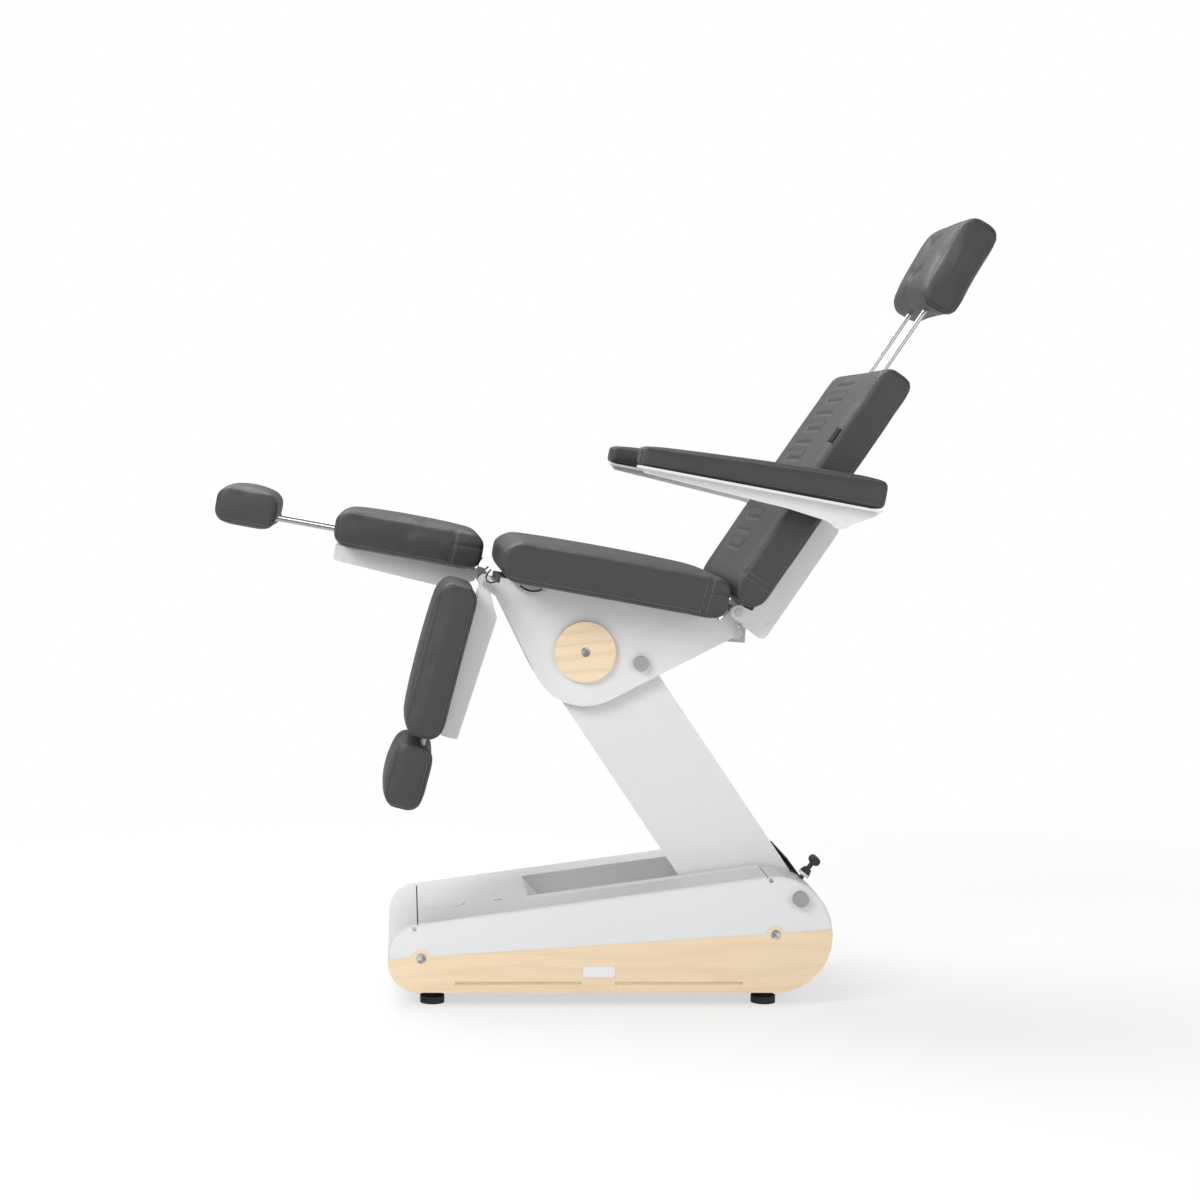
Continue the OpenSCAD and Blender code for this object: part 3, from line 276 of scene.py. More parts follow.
finishes = {
    "sideWhite": powderCoat("sideWhitePaint", (0.72, 0.725, 0.73)),
    # Top cover, end covers, arm well and foot button: the base's white painted a little darker than the
    # sides, as painted shade on the top
    "shadedTopWhite": powderCoat("topCoverShadedPaint", (0.66, 0.665, 0.67), 0.46),
    "armWhite": powderCoat("armPaint", (0.70, 0.705, 0.71), 0.44),
    "frameDark": powderCoat("darkFramePaint", (0.055, 0.056, 0.06), 0.5, 0.12),
    "panelWood": paleWood("panelWood", (0, math.radians(0.8), 0)),
    "discWood": paleWood("discWood", (0, math.radians(6), 0), 34.0, 0.42),
    "leather": leatherette("charcoalLeatherette"),
    "thread": threadFinish("greyThread", (0.20, 0.20, 0.205)),
    "chrome": metalFinish("polishedChrome", (0.40, 0.41, 0.43), 0.16, (1, 1, 1), 0.01),
    # Screws and bolts: low 0.45 paints the dark and bright sectors of their reflection into the colour
    "steel": metalFinish("turnedSteel", (0.62, 0.62, 0.63), 0.22, (60.0, 1.0, 60.0), 0.1, 0.45),
    "shaftSteel": metalFinish("shaftSteel", (0.50, 0.50, 0.51), 0.30, (60.0, 1.0, 60.0), 0.06, 0.92),
    "greyPlastic": mouldedFinish("greyCapPlastic", (0.30, 0.305, 0.31), 0.5),
    "blackPlastic": mouldedFinish("blackPlastic", (0.012, 0.012, 0.013), 0.42),
    "rubber": mouldedFinish("footRubber", (0.014, 0.014, 0.014), 0.7, 420.0, 0.35),
    "labelCloth": mouldedFinish("blackLabelCloth", (0.006, 0.006, 0.006), 0.78, 1500.0, 0.5),
    "badgeWhite": powderCoat("badgePlatePaint", (0.80, 0.80, 0.795), 0.3),
}
nodeFinish = {
    "sideWhite": ["side_cover_near", "side_cover_far", "seat_plate_near", "seat_plate_far", "back_plates",
                  "armrest_frame_near", "armrest_frame_far", "leg_frame_near", "leg_frame_far"],
    "shadedTopWhite": ["top_cover", "front_end_cover", "rear_end_cover", "arm_well", "foot_button"],
    "armWhite": ["arm_shell"],
    "frameDark": ["floor_frame", "axle_bearings", "control_box", "lift_actuator_body", "levelling_link",
                  "levelling_carrier", "seat_deck", "tilt_actuator_body", "back_actuator_body", "back_board"],
    "panelWood": ["wood_panel_near", "wood_panel_far"],
    "discWood": ["wood_discs"],
    "steel": ["panel_screws", "disc_bolts"],
    "shaftSteel": ["lower_axle", "upper_axle", "head_guides", "knee_hinge_pin", "back_hinge_pin",
                   "armrest_hubs"],
    "chrome": ["lift_actuator_rod", "tilt_actuator_rod", "back_actuator_rod", "seat_catch", "head_rods",
               "foot_rods_near", "foot_rods_far"],
    "greyPlastic": ["axle_caps", "side_pins"],
    "blackPlastic": ["mains_inlet", "hand_control_sockets", "t_handle"],
    "rubber": ["levelling_feet", "arm_boot"],
    "badgeWhite": ["badge_plates"],
}
screwed = {"nodes": ["armrest_frame_near", "armrest_frame_far", "leg_frame_near", "leg_frame_far",
                      "back_plates"],
           "finish": "steel", "largest": 0.014}
for finish, names in nodeFinish.items():
    for name in names:
        mesh = nodes[name].data
        mesh.materials.clear()
        mesh.materials.append(finishes[finish])
print("CAD finishes set")


# Screws that are small solids of a painted node keep their own finish
def paintIslands(name, finish, limit):
    mesh = nodes[name].data
    mesh.materials.append(finishes[finish])
    bm = bmesh.new()
    bm.from_mesh(mesh)
    keys = {}
    group = list(range(len(bm.verts)))

    def root(i):
        while group[i] != i:
            group[i] = group[group[i]]
            i = group[i]
        return i
    for v in bm.verts:  # vertices at one place count as one
        k = tuple(round(x, 6) for x in v.co)
        if k in keys:
            group[root(v.index)] = root(keys[k])
        else:
            keys[k] = v.index
    for e in bm.edges:
        a, b = root(e.verts[0].index), root(e.verts[1].index)
        if a != b:
            group[a] = b
    low, high = {}, {}
    for v in bm.verts:
        r = root(v.index)
        low[r] = [min(p, q) for p, q in zip(low.get(r, v.co), v.co)]
        high[r] = [max(p, q) for p, q in zip(high.get(r, v.co), v.co)]
    small = {r for r in low if max(b - a for a, b in zip(low[r], high[r])) < limit}
    index = len(mesh.materials) - 1
    for f in bm.faces:
        if root(f.verts[0].index) in small:
            f.material_index = index
    bm.to_mesh(mesh)
    bm.free()


for name in screwed["nodes"]:
    paintIslands(name, screwed["finish"], screwed["largest"])
print("screws in painted nodes set")


def turnY(degrees):
    return Matrix.Rotation(math.radians(degrees), 4, "Y")


# Places of the chair's own frames at rest, as in the source, in metres and degrees
chairFrames = {"knee": (-0.228, 0, 0.857), "seat": (0.022, 0, 0.827), "seatTurn": 10.4,
               "back": (0.292, 0, 0.796), "backTurn": 34.6, "hub": (0.0318, 0, 0.2696),
               "legHalf": 0.142, "legTurn": {"near": -75.25, "far": 10.35},
               "armHalf": 0.335, "armTurn": 10.65}
sides = {"near": -1, "far": 1}
seatFrame = Matrix.Translation(chairFrames["seat"]) @ turnY(chairFrames["seatTurn"])
backFrame = Matrix.Translation(chairFrames["back"]) @ turnY(chairFrames["backTurn"])
kneeAt = Vector(chairFrames["knee"])
hubAt = backFrame @ Vector(chairFrames["hub"])
legFrames, armFrames = {}, {}
for side, sign in sides.items():
    aside = Vector((0, sign * chairFrames["legHalf"], 0))
    legFrames[side] = Matrix.Translation(kneeAt + aside) @ turnY(chairFrames["legTurn"][side])
    hubPlace = (hubAt.x, sign * chairFrames["armHalf"], hubAt.z)
    armFrames[side] = Matrix.Translation(hubPlace) @ turnY(chairFrames["armTurn"])


def smooth(mesh):
    mesh.polygons.foreach_set("use_smooth", [True] * len(mesh.polygons))


# Side view of a cushion: a box with its own radius at each corner, drawn anticlockwise
def sideOutline(length, thick, radii, steps=8):
    corners = [(-length / 2, 0, radii[0], 180), (length / 2, 0, radii[1], 270),
               (length / 2, thick, radii[2], 0), (-length / 2, thick, radii[3], 90)]
    points = []
    for x, z, r, start in corners:
        cx = x + (r if x < 0 else -r)
        cz = z + (r if z == 0 else -r)
        for i in range(steps + 1):
            a = math.radians(start + 90 * i / steps)
            points.append((cx + r * math.cos(a), cz + r * math.sin(a)))
    return points


# How much smaller than its cover the foam is, as shares of the puff, and where its rims ease, of their depth
foamShares = {"less": 1.4, "lift": 0.7, "rim": 0.3}


# The foam block under the cover: the side view drawn out over the width, its side panels' rims eased
def foamBlock(s):
    length, width, thick = s["size"]
    puff, rim = s["puff"], s["rim"]
    foam = thick - foamShares["less"] * puff
    half, reach, middle = width / 2 - puff, length / 2 - puff, foam / 2
    eased = rim * foamShares["rim"]
    points = sideOutline(length - 2 * puff, foam, s["radii"])
    bm = bmesh.new()
    rings = []
    for y, inset in ((-half, rim), (-half + eased, eased), (-half + rim, 0),
                     (half - rim, 0), (half - eased, eased), (half, rim)):
        ring = []
        for x, z in points:
            height = middle + (z - middle) * (1 - inset / middle) + puff * foamShares["lift"]
            ring.append(bm.verts.new((x * (1 - inset / reach), y, height)))
        rings.append(ring)
    bridged(bm, rings)
    return link(bpy.data.objects.new(s["name"], meshFrom(bm, s["name"])))


# Faces between rings of points, with both ends closed
def bridged(bm, rings):
    n = len(rings[0])
    for a, b in zip(rings, rings[1:]):
        for i in range(n):
            bm.faces.new((a[i], a[(i + 1) % n], b[(i + 1) % n], b[i]))
    bm.faces.new(list(reversed(rings[0])))
    bm.faces.new(rings[-1])


def meshFrom(bm, name):
    bmesh.ops.recalc_face_normals(bm, faces=bm.faces)
    mesh = bpy.data.meshes.new(name)
    bm.to_mesh(mesh)
    bm.free()
    return mesh


def applyAll(obj):
    deps = bpy.context.evaluated_depsgraph_get()
    mesh = bpy.data.meshes.new_from_object(obj.evaluated_get(deps))
    obj.modifiers.clear()
    old = obj.data
    obj.data = mesh
    bpy.data.meshes.remove(old)


def coordsOf(obj):
    co = np.empty(len(obj.data.vertices) * 3)
    obj.data.vertices.foreach_get("co", co)
    return co.reshape(-1, 3)


def setCoords(obj, co):
    obj.data.vertices.foreach_set("co", co.reshape(-1))
    obj.data.update()


def normalsOf(obj):
    n = np.empty(len(obj.data.vertices) * 3)
    obj.data.vertex_normals.foreach_get("vector", n)
    return n.reshape(-1, 3)


def smoothStep(value, low, high):
    t = np.clip((value - low) / (high - low), 0, 1)
    return t * t * (3 - 2 * t)


# A field on the vertices, averaged with its neighbours again and again
def evened(obj, field, rounds, keep=0.4):
    ends = np.empty(len(obj.data.edges) * 2, dtype=int)
    obj.data.edges.foreach_get("vertices", ends)
    a, b = ends.reshape(-1, 2).T
    count = np.bincount(ends, minlength=len(field))[:, None]
    for _ in range(rounds):
        total = np.zeros_like(field)
        for axis in range(3):
            fromB = np.bincount(a, field[b, axis], len(field))
            fromA = np.bincount(b, field[a, axis], len(field))
            total[:, axis] = fromB + fromA
        field = field * keep + total / count * (1 - keep)
    return field


# How every cover is crowned, blown up as cloth and evened out
coverSettings = {"topShares": (0.45, 0.92), "crownPower": 0.7, "frames": 20, "quality": 4, "mass": 0.35,
                 "stiff": 12, "bending": 2.5, "damping": 12, "broadRounds": 24, "broadShare": 0.8,
                 "fineRounds": 2, "fineShare": 0.35, "easing": 0.5, "easingRounds": 4}


# Where the vertices lie once the cloth has run, after its last frame
def clothCoords(obj, pressure):
    scene, g = bpy.context.scene, coverSettings
    cloth = obj.modifiers.new("cover", "CLOTH")
    k = cloth.settings
    k.quality, k.mass, k.use_pressure, k.uniform_pressure_force = g["quality"], g["mass"], True, pressure
    k.tension_stiffness, k.compression_stiffness, k.bending_stiffness = g["stiff"], g["stiff"], g["bending"]
    k.tension_damping = k.compression_damping = g["damping"]
    k.effector_weights.gravity = 0
    cloth.point_cache.frame_start, cloth.point_cache.frame_end = 1, g["frames"]
    for f in range(1, g["frames"] + 1):
        scene.frame_set(f)
    deps = bpy.context.evaluated_depsgraph_get()
    soft = obj.evaluated_get(deps).to_mesh()
    moved = np.empty(len(soft.vertices) * 3)
    soft.vertices.foreach_get("co", moved)
    obj.evaluated_get(deps).to_mesh_clear()
    obj.modifiers.clear()
    return moved.reshape(-1, 3)


# Rounds the top to its crown, then lets cloth over the foam puff out, no further than the cap
def puffed(obj, s):
    length, width, thick = s["size"]
    g = coverSettings
    remesh = obj.modifiers.new("voxels", "REMESH")
    remesh.mode, remesh.voxel_size, remesh.adaptivity = "VOXEL", s["voxel"], 0.0
    applyAll(obj)
    co = coordsOf(obj)
    u, v = 2 * co[:, 0] / length, 2 * co[:, 1] / width
    rise = np.clip(1 - u ** 2, 0, 1) * np.clip(1 - v ** 2, 0, 1)
    top = smoothStep(co[:, 2], thick * g["topShares"][0], thick * g["topShares"][1])
    co[:, 2] += s["crown"] * rise ** g["crownPower"] * top - s["crown"] * top
    co[:, 1] *= 1 - s["waist"] / width * np.clip(1 - u ** 2, 0, 1)
    setCoords(obj, co)
    start = coordsOf(obj)
    step = clothCoords(obj, s["pressure"]) - start
    far = np.linalg.norm(step, axis=1)
    step *= (np.minimum(far, s["cap"]) / np.maximum(far, 1e-9))[:, None]
    broad = evened(obj, step, g["broadRounds"])
    step = broad * g["broadShare"] + evened(obj, step - broad, g["fineRounds"]) * g["fineShare"]
    setCoords(obj, start + step)
    bpy.context.scene.frame_set(1)
    easing = obj.modifiers.new("easing", "SMOOTH")
    easing.factor, easing.iterations = g["easing"], g["easingRounds"]
    fine = obj.modifiers.new("finer", "SUBSURF")
    fine.levels = fine.render_levels = 1
    applyAll(obj)
    co = coordsOf(obj)  # keep it within its own block
    co[:, 0] = np.clip(co[:, 0], -length / 2, length / 2)
    co[:, 1] = np.clip(co[:, 1], -width / 2, width / 2)
    co[:, 2] = np.where(co[:, 2] < 0, 0, co[:, 2])
    setCoords(obj, co)


# Distance of points to a line of points, all in two axes
def lineDistance(points, line):
    best = np.full(len(points), 9.0)
    for a, b in zip(line, line[1:]):
        a, b = np.array(a), np.array(b)
        d = b - a
        t = np.clip(((points - a) @ d) / max(d @ d, 1e-12), 0, 1)
        best = np.minimum(best, np.linalg.norm(points - (a + t[:, None] * d), axis=1))
    return best


# Views from which a seam is drawn: the two axes it is drawn in and the axis it looks along
seamViews = {"near": ((0, 2), 1, -1), "far": ((0, 2), 1, 1), "top": ((0, 1), 2, 1)}
seamSettings = {"deep": 0.0016, "wide": 0.0034, "puffAt": 0.011, "puffWide": 0.007, "facing": (0.25, 0.7)}


def sewn(obj, seams):
    co, normal = coordsOf(obj), normalsOf(obj)
    g = seamSettings
    for seam in seams:
        axes, along, sign = seamViews[seam["view"]]
        facing = smoothStep(normal[:, along] * sign, *g["facing"])
        distance = lineDistance(co[:, axes], seam["line"])
        groove = seam.get("deep", g["deep"]) * np.exp(-(distance / seam.get("wide", g["wide"])) ** 2)
        puff = seam.get("puff", 0.0) * np.exp(-((distance - g["puffAt"]) / g["puffWide"]) ** 2)
        co -= normal * ((groove - puff) * facing)[:, None]
    setCoords(obj, co)


# A stitch: its size, its rings as shares of its length and radius, and how high its middle and ends lie
stitchSettings = {"long": 0.0042, "thick": 0.00055, "pitch": 0.0062, "away": 0.6, "facing": 0.2,
                  "ringShares": ((-0.5, 0.35), (-0.34, 1.0), (0.34, 1.0), (0.5, 0.35)), "middle": 0.4,
                  "liftShares": (0.75, -0.1), "turns": (0, 1.257, 2.513, 3.77, 5.027)}


# One stitch on the surface at a hit, lying along a way
def stitch(bm, hit, normal, way):
    g = stitchSettings
    way = (way - normal * way.dot(normal)).normalized()
    across = normal.cross(way)
    rings = []
    for u, r in g["ringShares"]:
        lift = g["thick"] * g["liftShares"][0 if abs(u) < g["middle"] else 1]
        c = hit + way * (u * g["long"]) + normal * lift
        ring = []
        for t in g["turns"]:
            aside, up = math.cos(t) * g["thick"] * r, math.sin(t) * g["thick"] * r
            ring.append(bm.verts.new(c + across * aside + normal * up))
        rings.append(ring)
    bridged(bm, rings)


# Stitches: short capsules laid on the surface along each seam that has them
def stitchMesh(obj, seams, s):
    surface = BVHTree.FromObject(obj, bpy.context.evaluated_depsgraph_get())
    bm = bmesh.new()
    g = stitchSettings
    for seam in seams:
        if not seam.get("stitch"):
            continue
        axes, along, sign = seamViews[seam["view"]]
        line = [np.array(p) for p in seam["line"]]
        pitch, carry = seam.get("pitch", g["pitch"]), 0.0
        ray = Vector((0, 0, 0))
        ray[along] = -sign
        for a, b in zip(line, line[1:]):
            d = b - a
            size = np.linalg.norm(d)
            if size < 1e-6:
                continue
            d = d / size
            side = np.array((-d[1], d[0])) * seam["stitch"]
            way = Vector((0, 0, 0))
            way[axes[0]], way[axes[1]] = d
            place = carry
            while place < size:
                p = a + d * place + side
                origin = Vector((0, 0, 0))
                origin[axes[0]], origin[axes[1]], origin[along] = p[0], p[1], sign * g["away"]
                hit, normal, _, _ = surface.ray_cast(origin, ray)
                place += pitch
                if hit is not None and normal[along] * sign >= g["facing"]:
                    stitch(bm, hit, normal, way)
            carry = place - size
    mesh = meshFrom(bm, s["name"] + "_stitching")
    smooth(mesh)
    mesh.materials.append(finishes["thread"])
    return link(bpy.data.objects.new(mesh.name, mesh))


def tapered(obj, s):
    if "lowShare" in s:
        co = coordsOf(obj)
        length = s["size"][0]
        co[:, 2] *= 1 - (1 - s["lowShare"]) * (length / 2 - co[:, 0]) / length
        setCoords(obj, co)


crossSeam = {"shift": 0.007, "deep": 0.0018, "stitch": -0.003}
levelSeam = {"deep": 0.0024, "puff": 0.0006, "stitch": -0.004, "pitch": 0.0075}
leastRadius = 0.003


# A cushion's side view, drawn in by the seam's distance from the rim
def inset(length, thick, radii, by):
    inner = sideOutline(length - 2 * by, thick - 2 * by, [max(r - by, leastRadius) for r in radii])
    return [(x, z + by) for x, z in inner]


# A side panel's seams: round its rim, or up to a cross seam with a short level seam beyond it.
# A cross seam is given by the x of its middle, how far its top leans and the end that it is near.
def panelSeams(s):
    length, _, thick = s["size"]
    by = s["seamIn"]
    loop = inset(length, thick, s["radii"], by)
    seams = []
    for view in ("near", "far"):
        rimSeam = {"view": view, "stitch": s["stitchIn"], "deep": s["rimDeep"]}
        if s["cross"][view] is None:
            seams.append({**rimSeam, "line": [*loop, loop[0]]})
            continue
        at, lean, past = s["cross"][view]
        kept = [(p[0] - at) * past < 0 for p in loop]
        start = next(i for i in range(len(loop)) if kept[i] and not kept[i - 1])
        run = [loop[(start + i) % len(loop)] for i in range(len(loop)) if kept[(start + i) % len(loop)]]
        low, top = (at - lean, by), (at + lean, thick - by)
        ends = (low, top) if run[-1][1] < thick / 2 else (top, low)
        seams.append({**rimSeam, "line": [*run, *ends, run[0]]})
        shift = crossSeam["shift"] * past
        seams.append({**crossSeam, "view": view, "line": [(low[0] + shift, 0.0), (top[0] + shift, thick)],
                      "stitch": crossSeam["stitch"] * past})
        level = s["levelAt"] * thick
        seams.append({**levelSeam, "view": view, "line": [(at + shift, level), (past * length / 2, level)]})
    return seams


def cushion(s, place, body, nodeNames, extra=()):
    obj = foamBlock(s)
    puffed(obj, s)
    seams = [*panelSeams(s), *extra]
    sewn(obj, seams)
    threads = stitchMesh(obj, seams, s)
    tapered(obj, s)
    tapered(threads, s)
    smooth(obj.data)
    obj.data.materials.clear()
    obj.data.materials.append(finishes["leather"])
    for piece in (obj, threads):
        piece.matrix_world = place
        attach(piece, body)
    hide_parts(*nodeNames)
    print("cushion", s["name"], len(obj.data.polygons))
    return obj, threads


# The other one of a pair, from the same cover, mirrored where its panels are
def twin(pieces, name, place, body, nodeNames, mirror=False):
    made = []
    for piece, ending in zip(pieces, ("", "_stitching")):
        copy = link(bpy.data.objects.new(name + ending, piece.data.copy()))
        if mirror:
            setCoords(copy, coordsOf(copy) * (1, -1, 1))
            copy.data.flip_normals()
        copy.matrix_world = place
        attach(copy, body)
        made.append(copy)
    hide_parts(*nodeNames)
    return made


seatCushion = {"name": "seatCushion", "size": (0.484, 0.566, 0.094), "radii": (0.030, 0.022, 0.022, 0.036),
               "rim": 0.007, "puff": 0.005, "cap": 0.007, "crown": 0.010, "waist": 0.004, "voxel": 0.006,
               "pressure": 4.0, "fill": 0.85, "seamIn": 0.0075, "stitchIn": 0.003, "rimDeep": 0.0018,
               "levelAt": 0.55, "cross": {"near": (0.184, 0.004, 1), "far": (0.184, 0.004, 1)},
               "at": (0, 0, 0.0003)}
cushion(seatCushion, seatFrame @ Matrix.Translation(seatCushion["at"]), "seat", ["seat_cushion"])

backCushion = {"name": "backCushion", "size": (0.582, 0.550, 0.086), "radii": (0.030, 0.020, 0.026, 0.036),
               "rim": 0.008, "puff": 0.005, "cap": 0.007, "crown": 0.010, "waist": 0.004, "voxel": 0.006,
               "pressure": 4.0, "fill": 0.85, "seamIn": 0.0075, "stitchIn": 0.003, "rimDeep": 0.0018,
               "levelAt": 0.45, "cross": {"near": (-0.224, 0.0, -1), "far": (-0.224, 0.0, -1)},
               "at": (0.020, 0, 0.299), "turn": -90}
slotRows = {"first": 0.530, "pitch": 0.075, "rows": 6, "half": 0.092, "under": 0.042, "hook": 0.018,
            "flare": 0.003, "bend": 0.004, "corner": 0.012}
slotSeam = {"view": "top", "deep": 0.0024, "wide": 0.0030, "puff": 0.0009}


# Rows of sewn slots across the front of the back: a straight line over a shallow tray
def slotSeams(s, middle):
    half, bend, corner = s["half"], s["bend"], s["corner"]
    seams = []
    for row in range(s["rows"]):
        d = s["first"] - row * s["pitch"] - middle
        low = d - s["under"]
        tip = low + s["hook"]
        tray = [(tip, -half - s["flare"]), (low + bend, -half + bend), (low, -half + corner),
                (low, half - corner), (low + bend, half - bend), (tip, half + s["flare"])]
        seams.append({**slotSeam, "line": [(d, -half), (d, half)]})
        seams.append({**slotSeam, "line": tray})
    return seams


backPlace = backFrame @ Matrix.Translation(backCushion["at"]) @ turnY(backCushion["turn"])
slots = slotSeams(slotRows, backCushion["at"][2])
backPieces = cushion(backCushion, backPlace, "back", ["back_cushion"], slots)

headCushion = {"name": "headCushion", "size": (0.220, 0.330, 0.096), "radii": (0.020, 0.024, 0.034, 0.030),
               "rim": 0.010, "puff": 0.005, "cap": 0.007, "crown": 0.011, "waist": 0.003, "voxel": 0.005,
               "pressure": 4.5, "fill": 0.8, "seamIn": 0.0085, "stitchIn": 0.003, "rimDeep": 0.0018,
               "cross": {"near": None, "far": None}, "at": (-0.024, 0, 0.740), "turn": -94.6,
               "middle": (0.110, 0, -0.048)}
creaseLines = {0.0050: [(0.048, -0.040), (0.030, 0.0), (0.048, 0.040)],
               0.0040: [(-0.030, -0.050), (-0.042, 0.0), (-0.030, 0.050)]}  # two soft creases, by their depth
creases = [{"view": "top", "line": line, "deep": deep, "wide": 0.012} for deep, line in creaseLines.items()]
headPlace = (backFrame @ Matrix.Translation(headCushion["at"]) @ turnY(headCushion["turn"])
             @ Matrix.Translation(headCushion["middle"]))
cushion(headCushion, headPlace, "head", ["head_cushion"], creases)

legCushion = {"name": "legCushionFar", "size": (0.334, 0.270, 0.090), "radii": (0.026, 0.024, 0.026, 0.028),
              "rim": 0.008, "puff": 0.004, "cap": 0.006, "crown": 0.010, "waist": 0.003, "voxel": 0.005,
              "pressure": 4.0, "fill": 0.85, "seamIn": 0.0075, "stitchIn": 0.003, "rimDeep": 0.0018,
              "levelAt": 0.56, "cross": {"near": (0.090, 0.002, 1), "far": None}, "at": (-0.171, 0, 0.011)}
gatherRow = {"places": (0.128, 0.137, 0.146), "lean": 0.006, "low": 0.040, "high": 0.066}
gathers = [{"view": "far", "line": [(x, gatherRow["low"]), (x + gatherRow["lean"], gatherRow["high"])],
            "deep": 0.0016, "wide": 0.0026, "puff": 0.0006} for x in gatherRow["places"]]
legPlaces = {side: legFrames[side] @ Matrix.Translation(legCushion["at"]) for side in sides}
legPair = cushion(legCushion, legPlaces["far"], "leg_far", ["leg_cushion_far"], gathers)
twin(legPair, "legCushionNear", legPlaces["near"], "leg_near", ["leg_cushion_near"], True)

footPad = {"name": "footPadFar", "size": (0.140, 0.266, 0.090), "radii": (0.024, 0.020, 0.024, 0.028),
           "rim": 0.009, "puff": 0.004, "cap": 0.006, "crown": 0.009, "waist": 0.003, "voxel": 0.005,
           "pressure": 4.5, "fill": 0.85, "seamIn": 0.0075, "stitchIn": 0.003, "rimDeep": 0.0016,
           "cross": {"near": None, "far": None}, "from": -0.338, "out": {"near": 0.006, "far": 0.117},
           "middle": 0.070, "up": 0.016}
footPlaces = {}
for side in sides:
    footX = footPad["from"] - footPad["out"][side] - footPad["middle"]
    footPlaces[side] = legFrames[side] @ Matrix.Translation((footX, 0, footPad["up"]))
footPair = cushion(footPad, footPlaces["far"], "foot_far", ["foot_pad_far"])
twin(footPair, "footPadNear", footPlaces["near"], "foot_near", ["foot_pad_near"])

armPad = {"name": "armPadFar", "size": (0.498, 0.084, 0.065), "radii": (0.010, 0.010, 0.014, 0.012),
          "rim": 0.010, "puff": 0.0025, "cap": 0.004, "crown": 0.005, "waist": 0.002, "voxel": 0.004,
          "pressure": 5.0, "fill": 0.9, "seamIn": 0.006, "stitchIn": 0.0025, "rimDeep": 0.0012,
          "cross": {"near": None, "far": None}, "lowShare": 42 / 65, "at": (-0.171, 0, 0.026)}
armPlaces = {side: armFrames[side] @ Matrix.Translation(armPad["at"]) for side in sides}
armPair = cushion(armPad, armPlaces["far"], "armrest_far", ["armrest_pad_far"])
twin(armPair, "armPadNear", armPlaces["near"], "armrest_near", ["armrest_pad_near"])
print("soft parts made")

kneeStraps = {"path": [(-0.208, 0.870), (-0.214, 0.8645), (-0.2225, 0.863), (-0.2300, 0.867),
                       (-0.2315, 0.875), (-0.2265, 0.884), (-0.2215, 0.890)],
              "aside": 0.252, "width": 0.030, "thick": 0.0024}
bandShares = ((-0.5, -0.35), (-0.42, -0.5), (0.42, -0.5), (0.5, -0.35),
              (0.5, 0.35), (0.42, 0.5), (-0.42, 0.5), (-0.5, 0.35))


# A strap that loops round the knee, from the seat's underside to its front: a flat band along a curve
def strap(name, path, width, thick, body):
    bm = bmesh.new()
    rings = []
    for i, p in enumerate(path):
        a, b = Vector(path[max(i - 1, 0)]), Vector(path[min(i + 1, len(path) - 1)])
        out = (b - a).normalized().cross(Vector((0, 1, 0))).normalized()
        rings.append([bm.verts.new(Vector(p) + Vector((0, y * width, 0)) + out * (n * thick))
                      for y, n in bandShares])
    bridged(bm, rings)
    mesh = meshFrom(bm, name)
    smooth(mesh)
    mesh.materials.append(finishes["leather"])
    obj = link(bpy.data.objects.new(name, mesh))
    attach(obj, body)


for ending, sign in (("Near", -1), ("Far", 1)):
    path = [(x, sign * kneeStraps["aside"], z) for x, z in kneeStraps["path"]]
    strap("kneeStrap" + ending, path, kneeStraps["width"], kneeStraps["thick"], "seat")
print("straps made")

labelSettings = {"size": (0.034, 0.022), "place": (0.105, -0.251), "lift": 0.0007, "thick": 0.0012,
                 "cells": (14, 10)}


# Plain label sewn on the back's edge, laid on the cover
def labelMesh(s, name):
    data = backPieces[0].data
    points = [tuple(v.co) for v in data.vertices]
    cover = BVHTree.FromPolygons(points, [tuple(f.vertices) for f in data.polygons])
    bm = bmesh.new()
    across, along = s["cells"]
    grid = []
    for i in range(across + 1):
        row = []
        for j in range(along + 1):
            x = s["place"][0] + s["size"][0] * (i / across - 0.5)
            y = s["place"][1] + s["size"][1] * (j / along - 0.5)
            hit, normal, _, _ = cover.find_nearest(Vector((x, y, backCushion["size"][2])))
            row.append(bm.verts.new(hit + normal * s["lift"]))
        grid.append(row)
    for i in range(across):
        for j in range(along):
            bm.faces.new((grid[i][j], grid[i + 1][j], grid[i + 1][j + 1], grid[i][j + 1]))
    mesh = bpy.data.meshes.new(name)
    bm.to_mesh(mesh)
    bm.free()
    smooth(mesh)
    return mesh


label = link(bpy.data.objects.new("backLabel", labelMesh(labelSettings, "backLabel")))
thicken = label.modifiers.new("thick", "SOLIDIFY")
thicken.thickness, thicken.offset = labelSettings["thick"], 1.0
applyAll(label)
label.data.materials.clear()
label.data.materials.append(finishes["labelCloth"])
label.matrix_world = backPlace
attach(label, "back")
print("label made")

# Floor, backdrop and light: the paper fades from its own colour near the chair to white far from it
paper = {"colour": (0.86, 0.855, 0.845), "fadeFrom": 1.1, "fadeOver": 1.7, "whiteNear": 0.62,
         "whiteMore": 0.38, "half": 14.0, "drop": 0.0005}
sky = {"colour": (0.97, 0.98, 1.0), "strength": 0.47}
lamps = [
    {"name": "keySoft", "place": (-2.4, -2.8, 2.9), "target": (0, 0, 0.7), "size": 2.0, "power": 92},
    {"name": "topSoft", "place": (-0.8, 1.0, 3.6), "target": (0, 0, 0.8), "size": 2.6, "power": 112},
    {"name": "fillSoft", "place": (2.4, -3.6, 1.6), "target": (0, 0, 0.7), "size": 2.4, "power": 34},
]


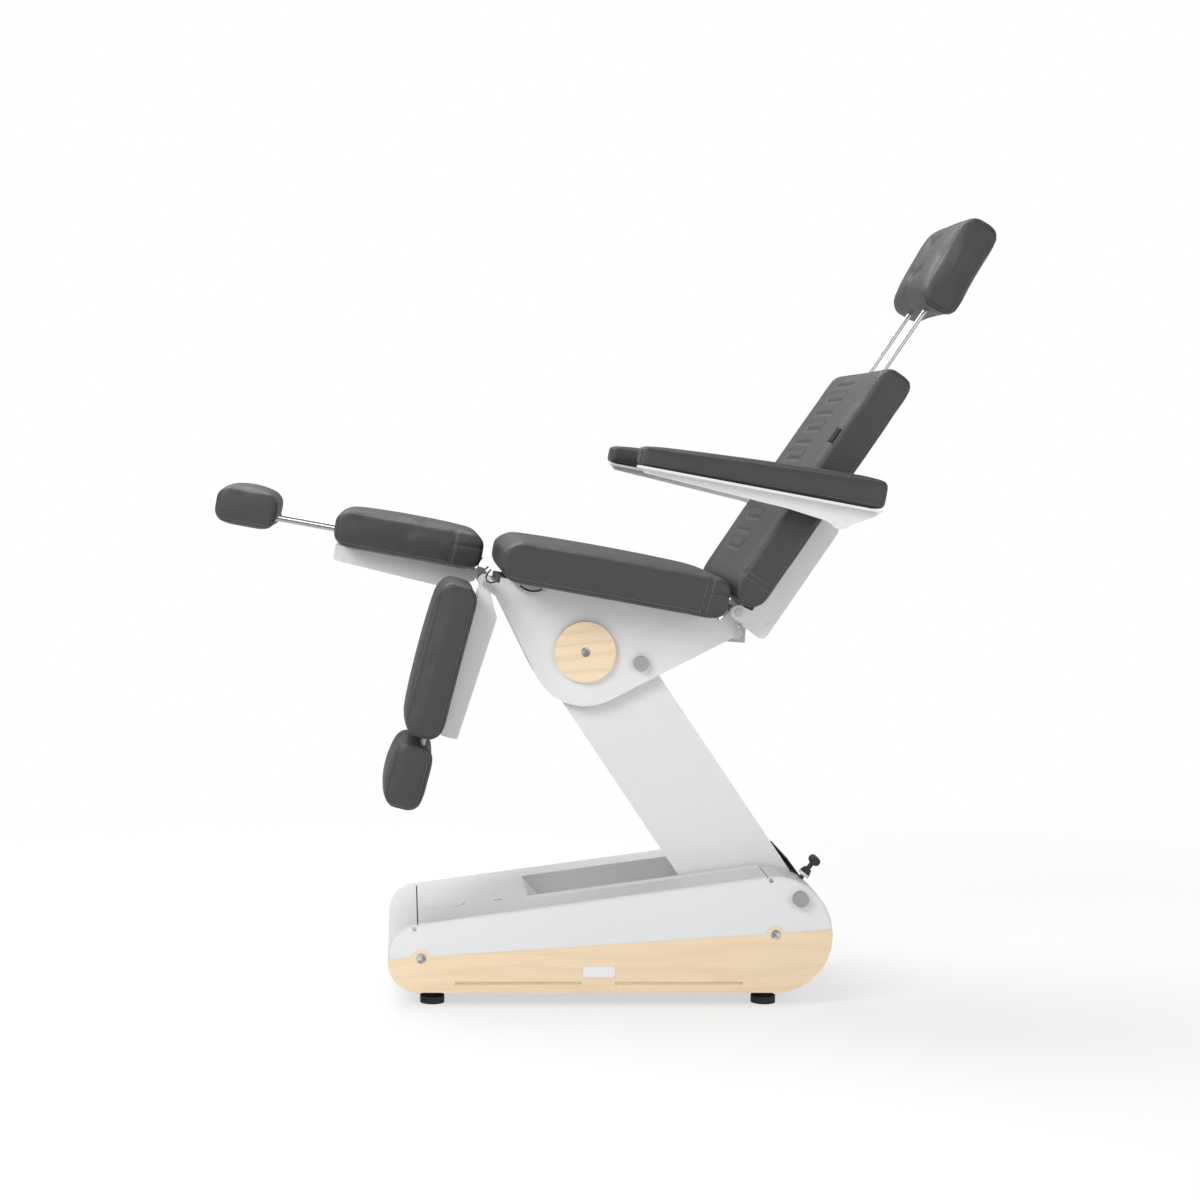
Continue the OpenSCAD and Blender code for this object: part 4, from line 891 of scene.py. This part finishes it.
def whiteGround(name, s):
    t = Tree(name)
    seen = t.make("ShaderNodeLightPath", out="Is Camera Ray")
    diffuse = t.make("ShaderNodeBsdfDiffuse", {}, {"Color": s["colour"]})
    glow = t.make("ShaderNodeEmission", {}, {"Color": (1, 1, 1), "Strength": 1.0})
    away = t.make("ShaderNodeVectorMath", {"operation": "LENGTH"}, {0: t.coords()}, out="Value")
    rim = ((away - s["fadeFrom"]) / s["fadeOver"]).clamp()
    rays = (seen + seen.also("Is Glossy Ray") + seen.also("Is Transmission Ray")).clamp()
    factor = rays * (rim * s["whiteMore"] + s["whiteNear"])
    return t.close(t.make("ShaderNodeMixShader", {}, {0: factor, 1: diffuse, 2: glow}))


def studioWorld(name, s):
    t = Tree(name, world=True)
    seen = t.make("ShaderNodeLightPath", out="Is Camera Ray")
    soft = t.make("ShaderNodeBackground", {}, {"Color": s["colour"], "Strength": s["strength"]})
    white = t.make("ShaderNodeBackground", {}, {"Color": (1, 1, 1), "Strength": 1.0})
    factor = seen.op("MAXIMUM", seen.also("Is Transmission Ray"))
    return t.close(t.make("ShaderNodeMixShader", {}, {0: factor, 1: soft, 2: white}), "ShaderNodeOutputWorld")


floorMesh = bpy.data.meshes.new("studioFloor")
corners = [(x * paper["half"], y * paper["half"], 0) for x, y in ((-1, -1), (1, -1), (1, 1), (-1, 1))]
floorMesh.from_pydata(corners, [], [(0, 1, 2, 3)])
floor = link(bpy.data.objects.new("studioFloor", floorMesh))
floorMesh.materials.append(whiteGround("floorPaper", paper))
floor.location = (0, 0, -paper["drop"])
bpy.context.scene.world = studioWorld("studioWorld", sky)
for s in lamps:
    data = bpy.data.lights.new(s["name"], "AREA")
    data.shape, data.size, data.energy = "DISK", s["size"], s["power"]
    lamp = link(bpy.data.objects.new(s["name"], data))
    lamp.location = s["place"]
    lamp.rotation_euler = (Vector(s["target"]) - Vector(s["place"])).to_track_quat("-Z", "Y").to_euler()
print("floor, world and lamps set")

bpy.context.scene.view_settings.view_transform = "Standard"
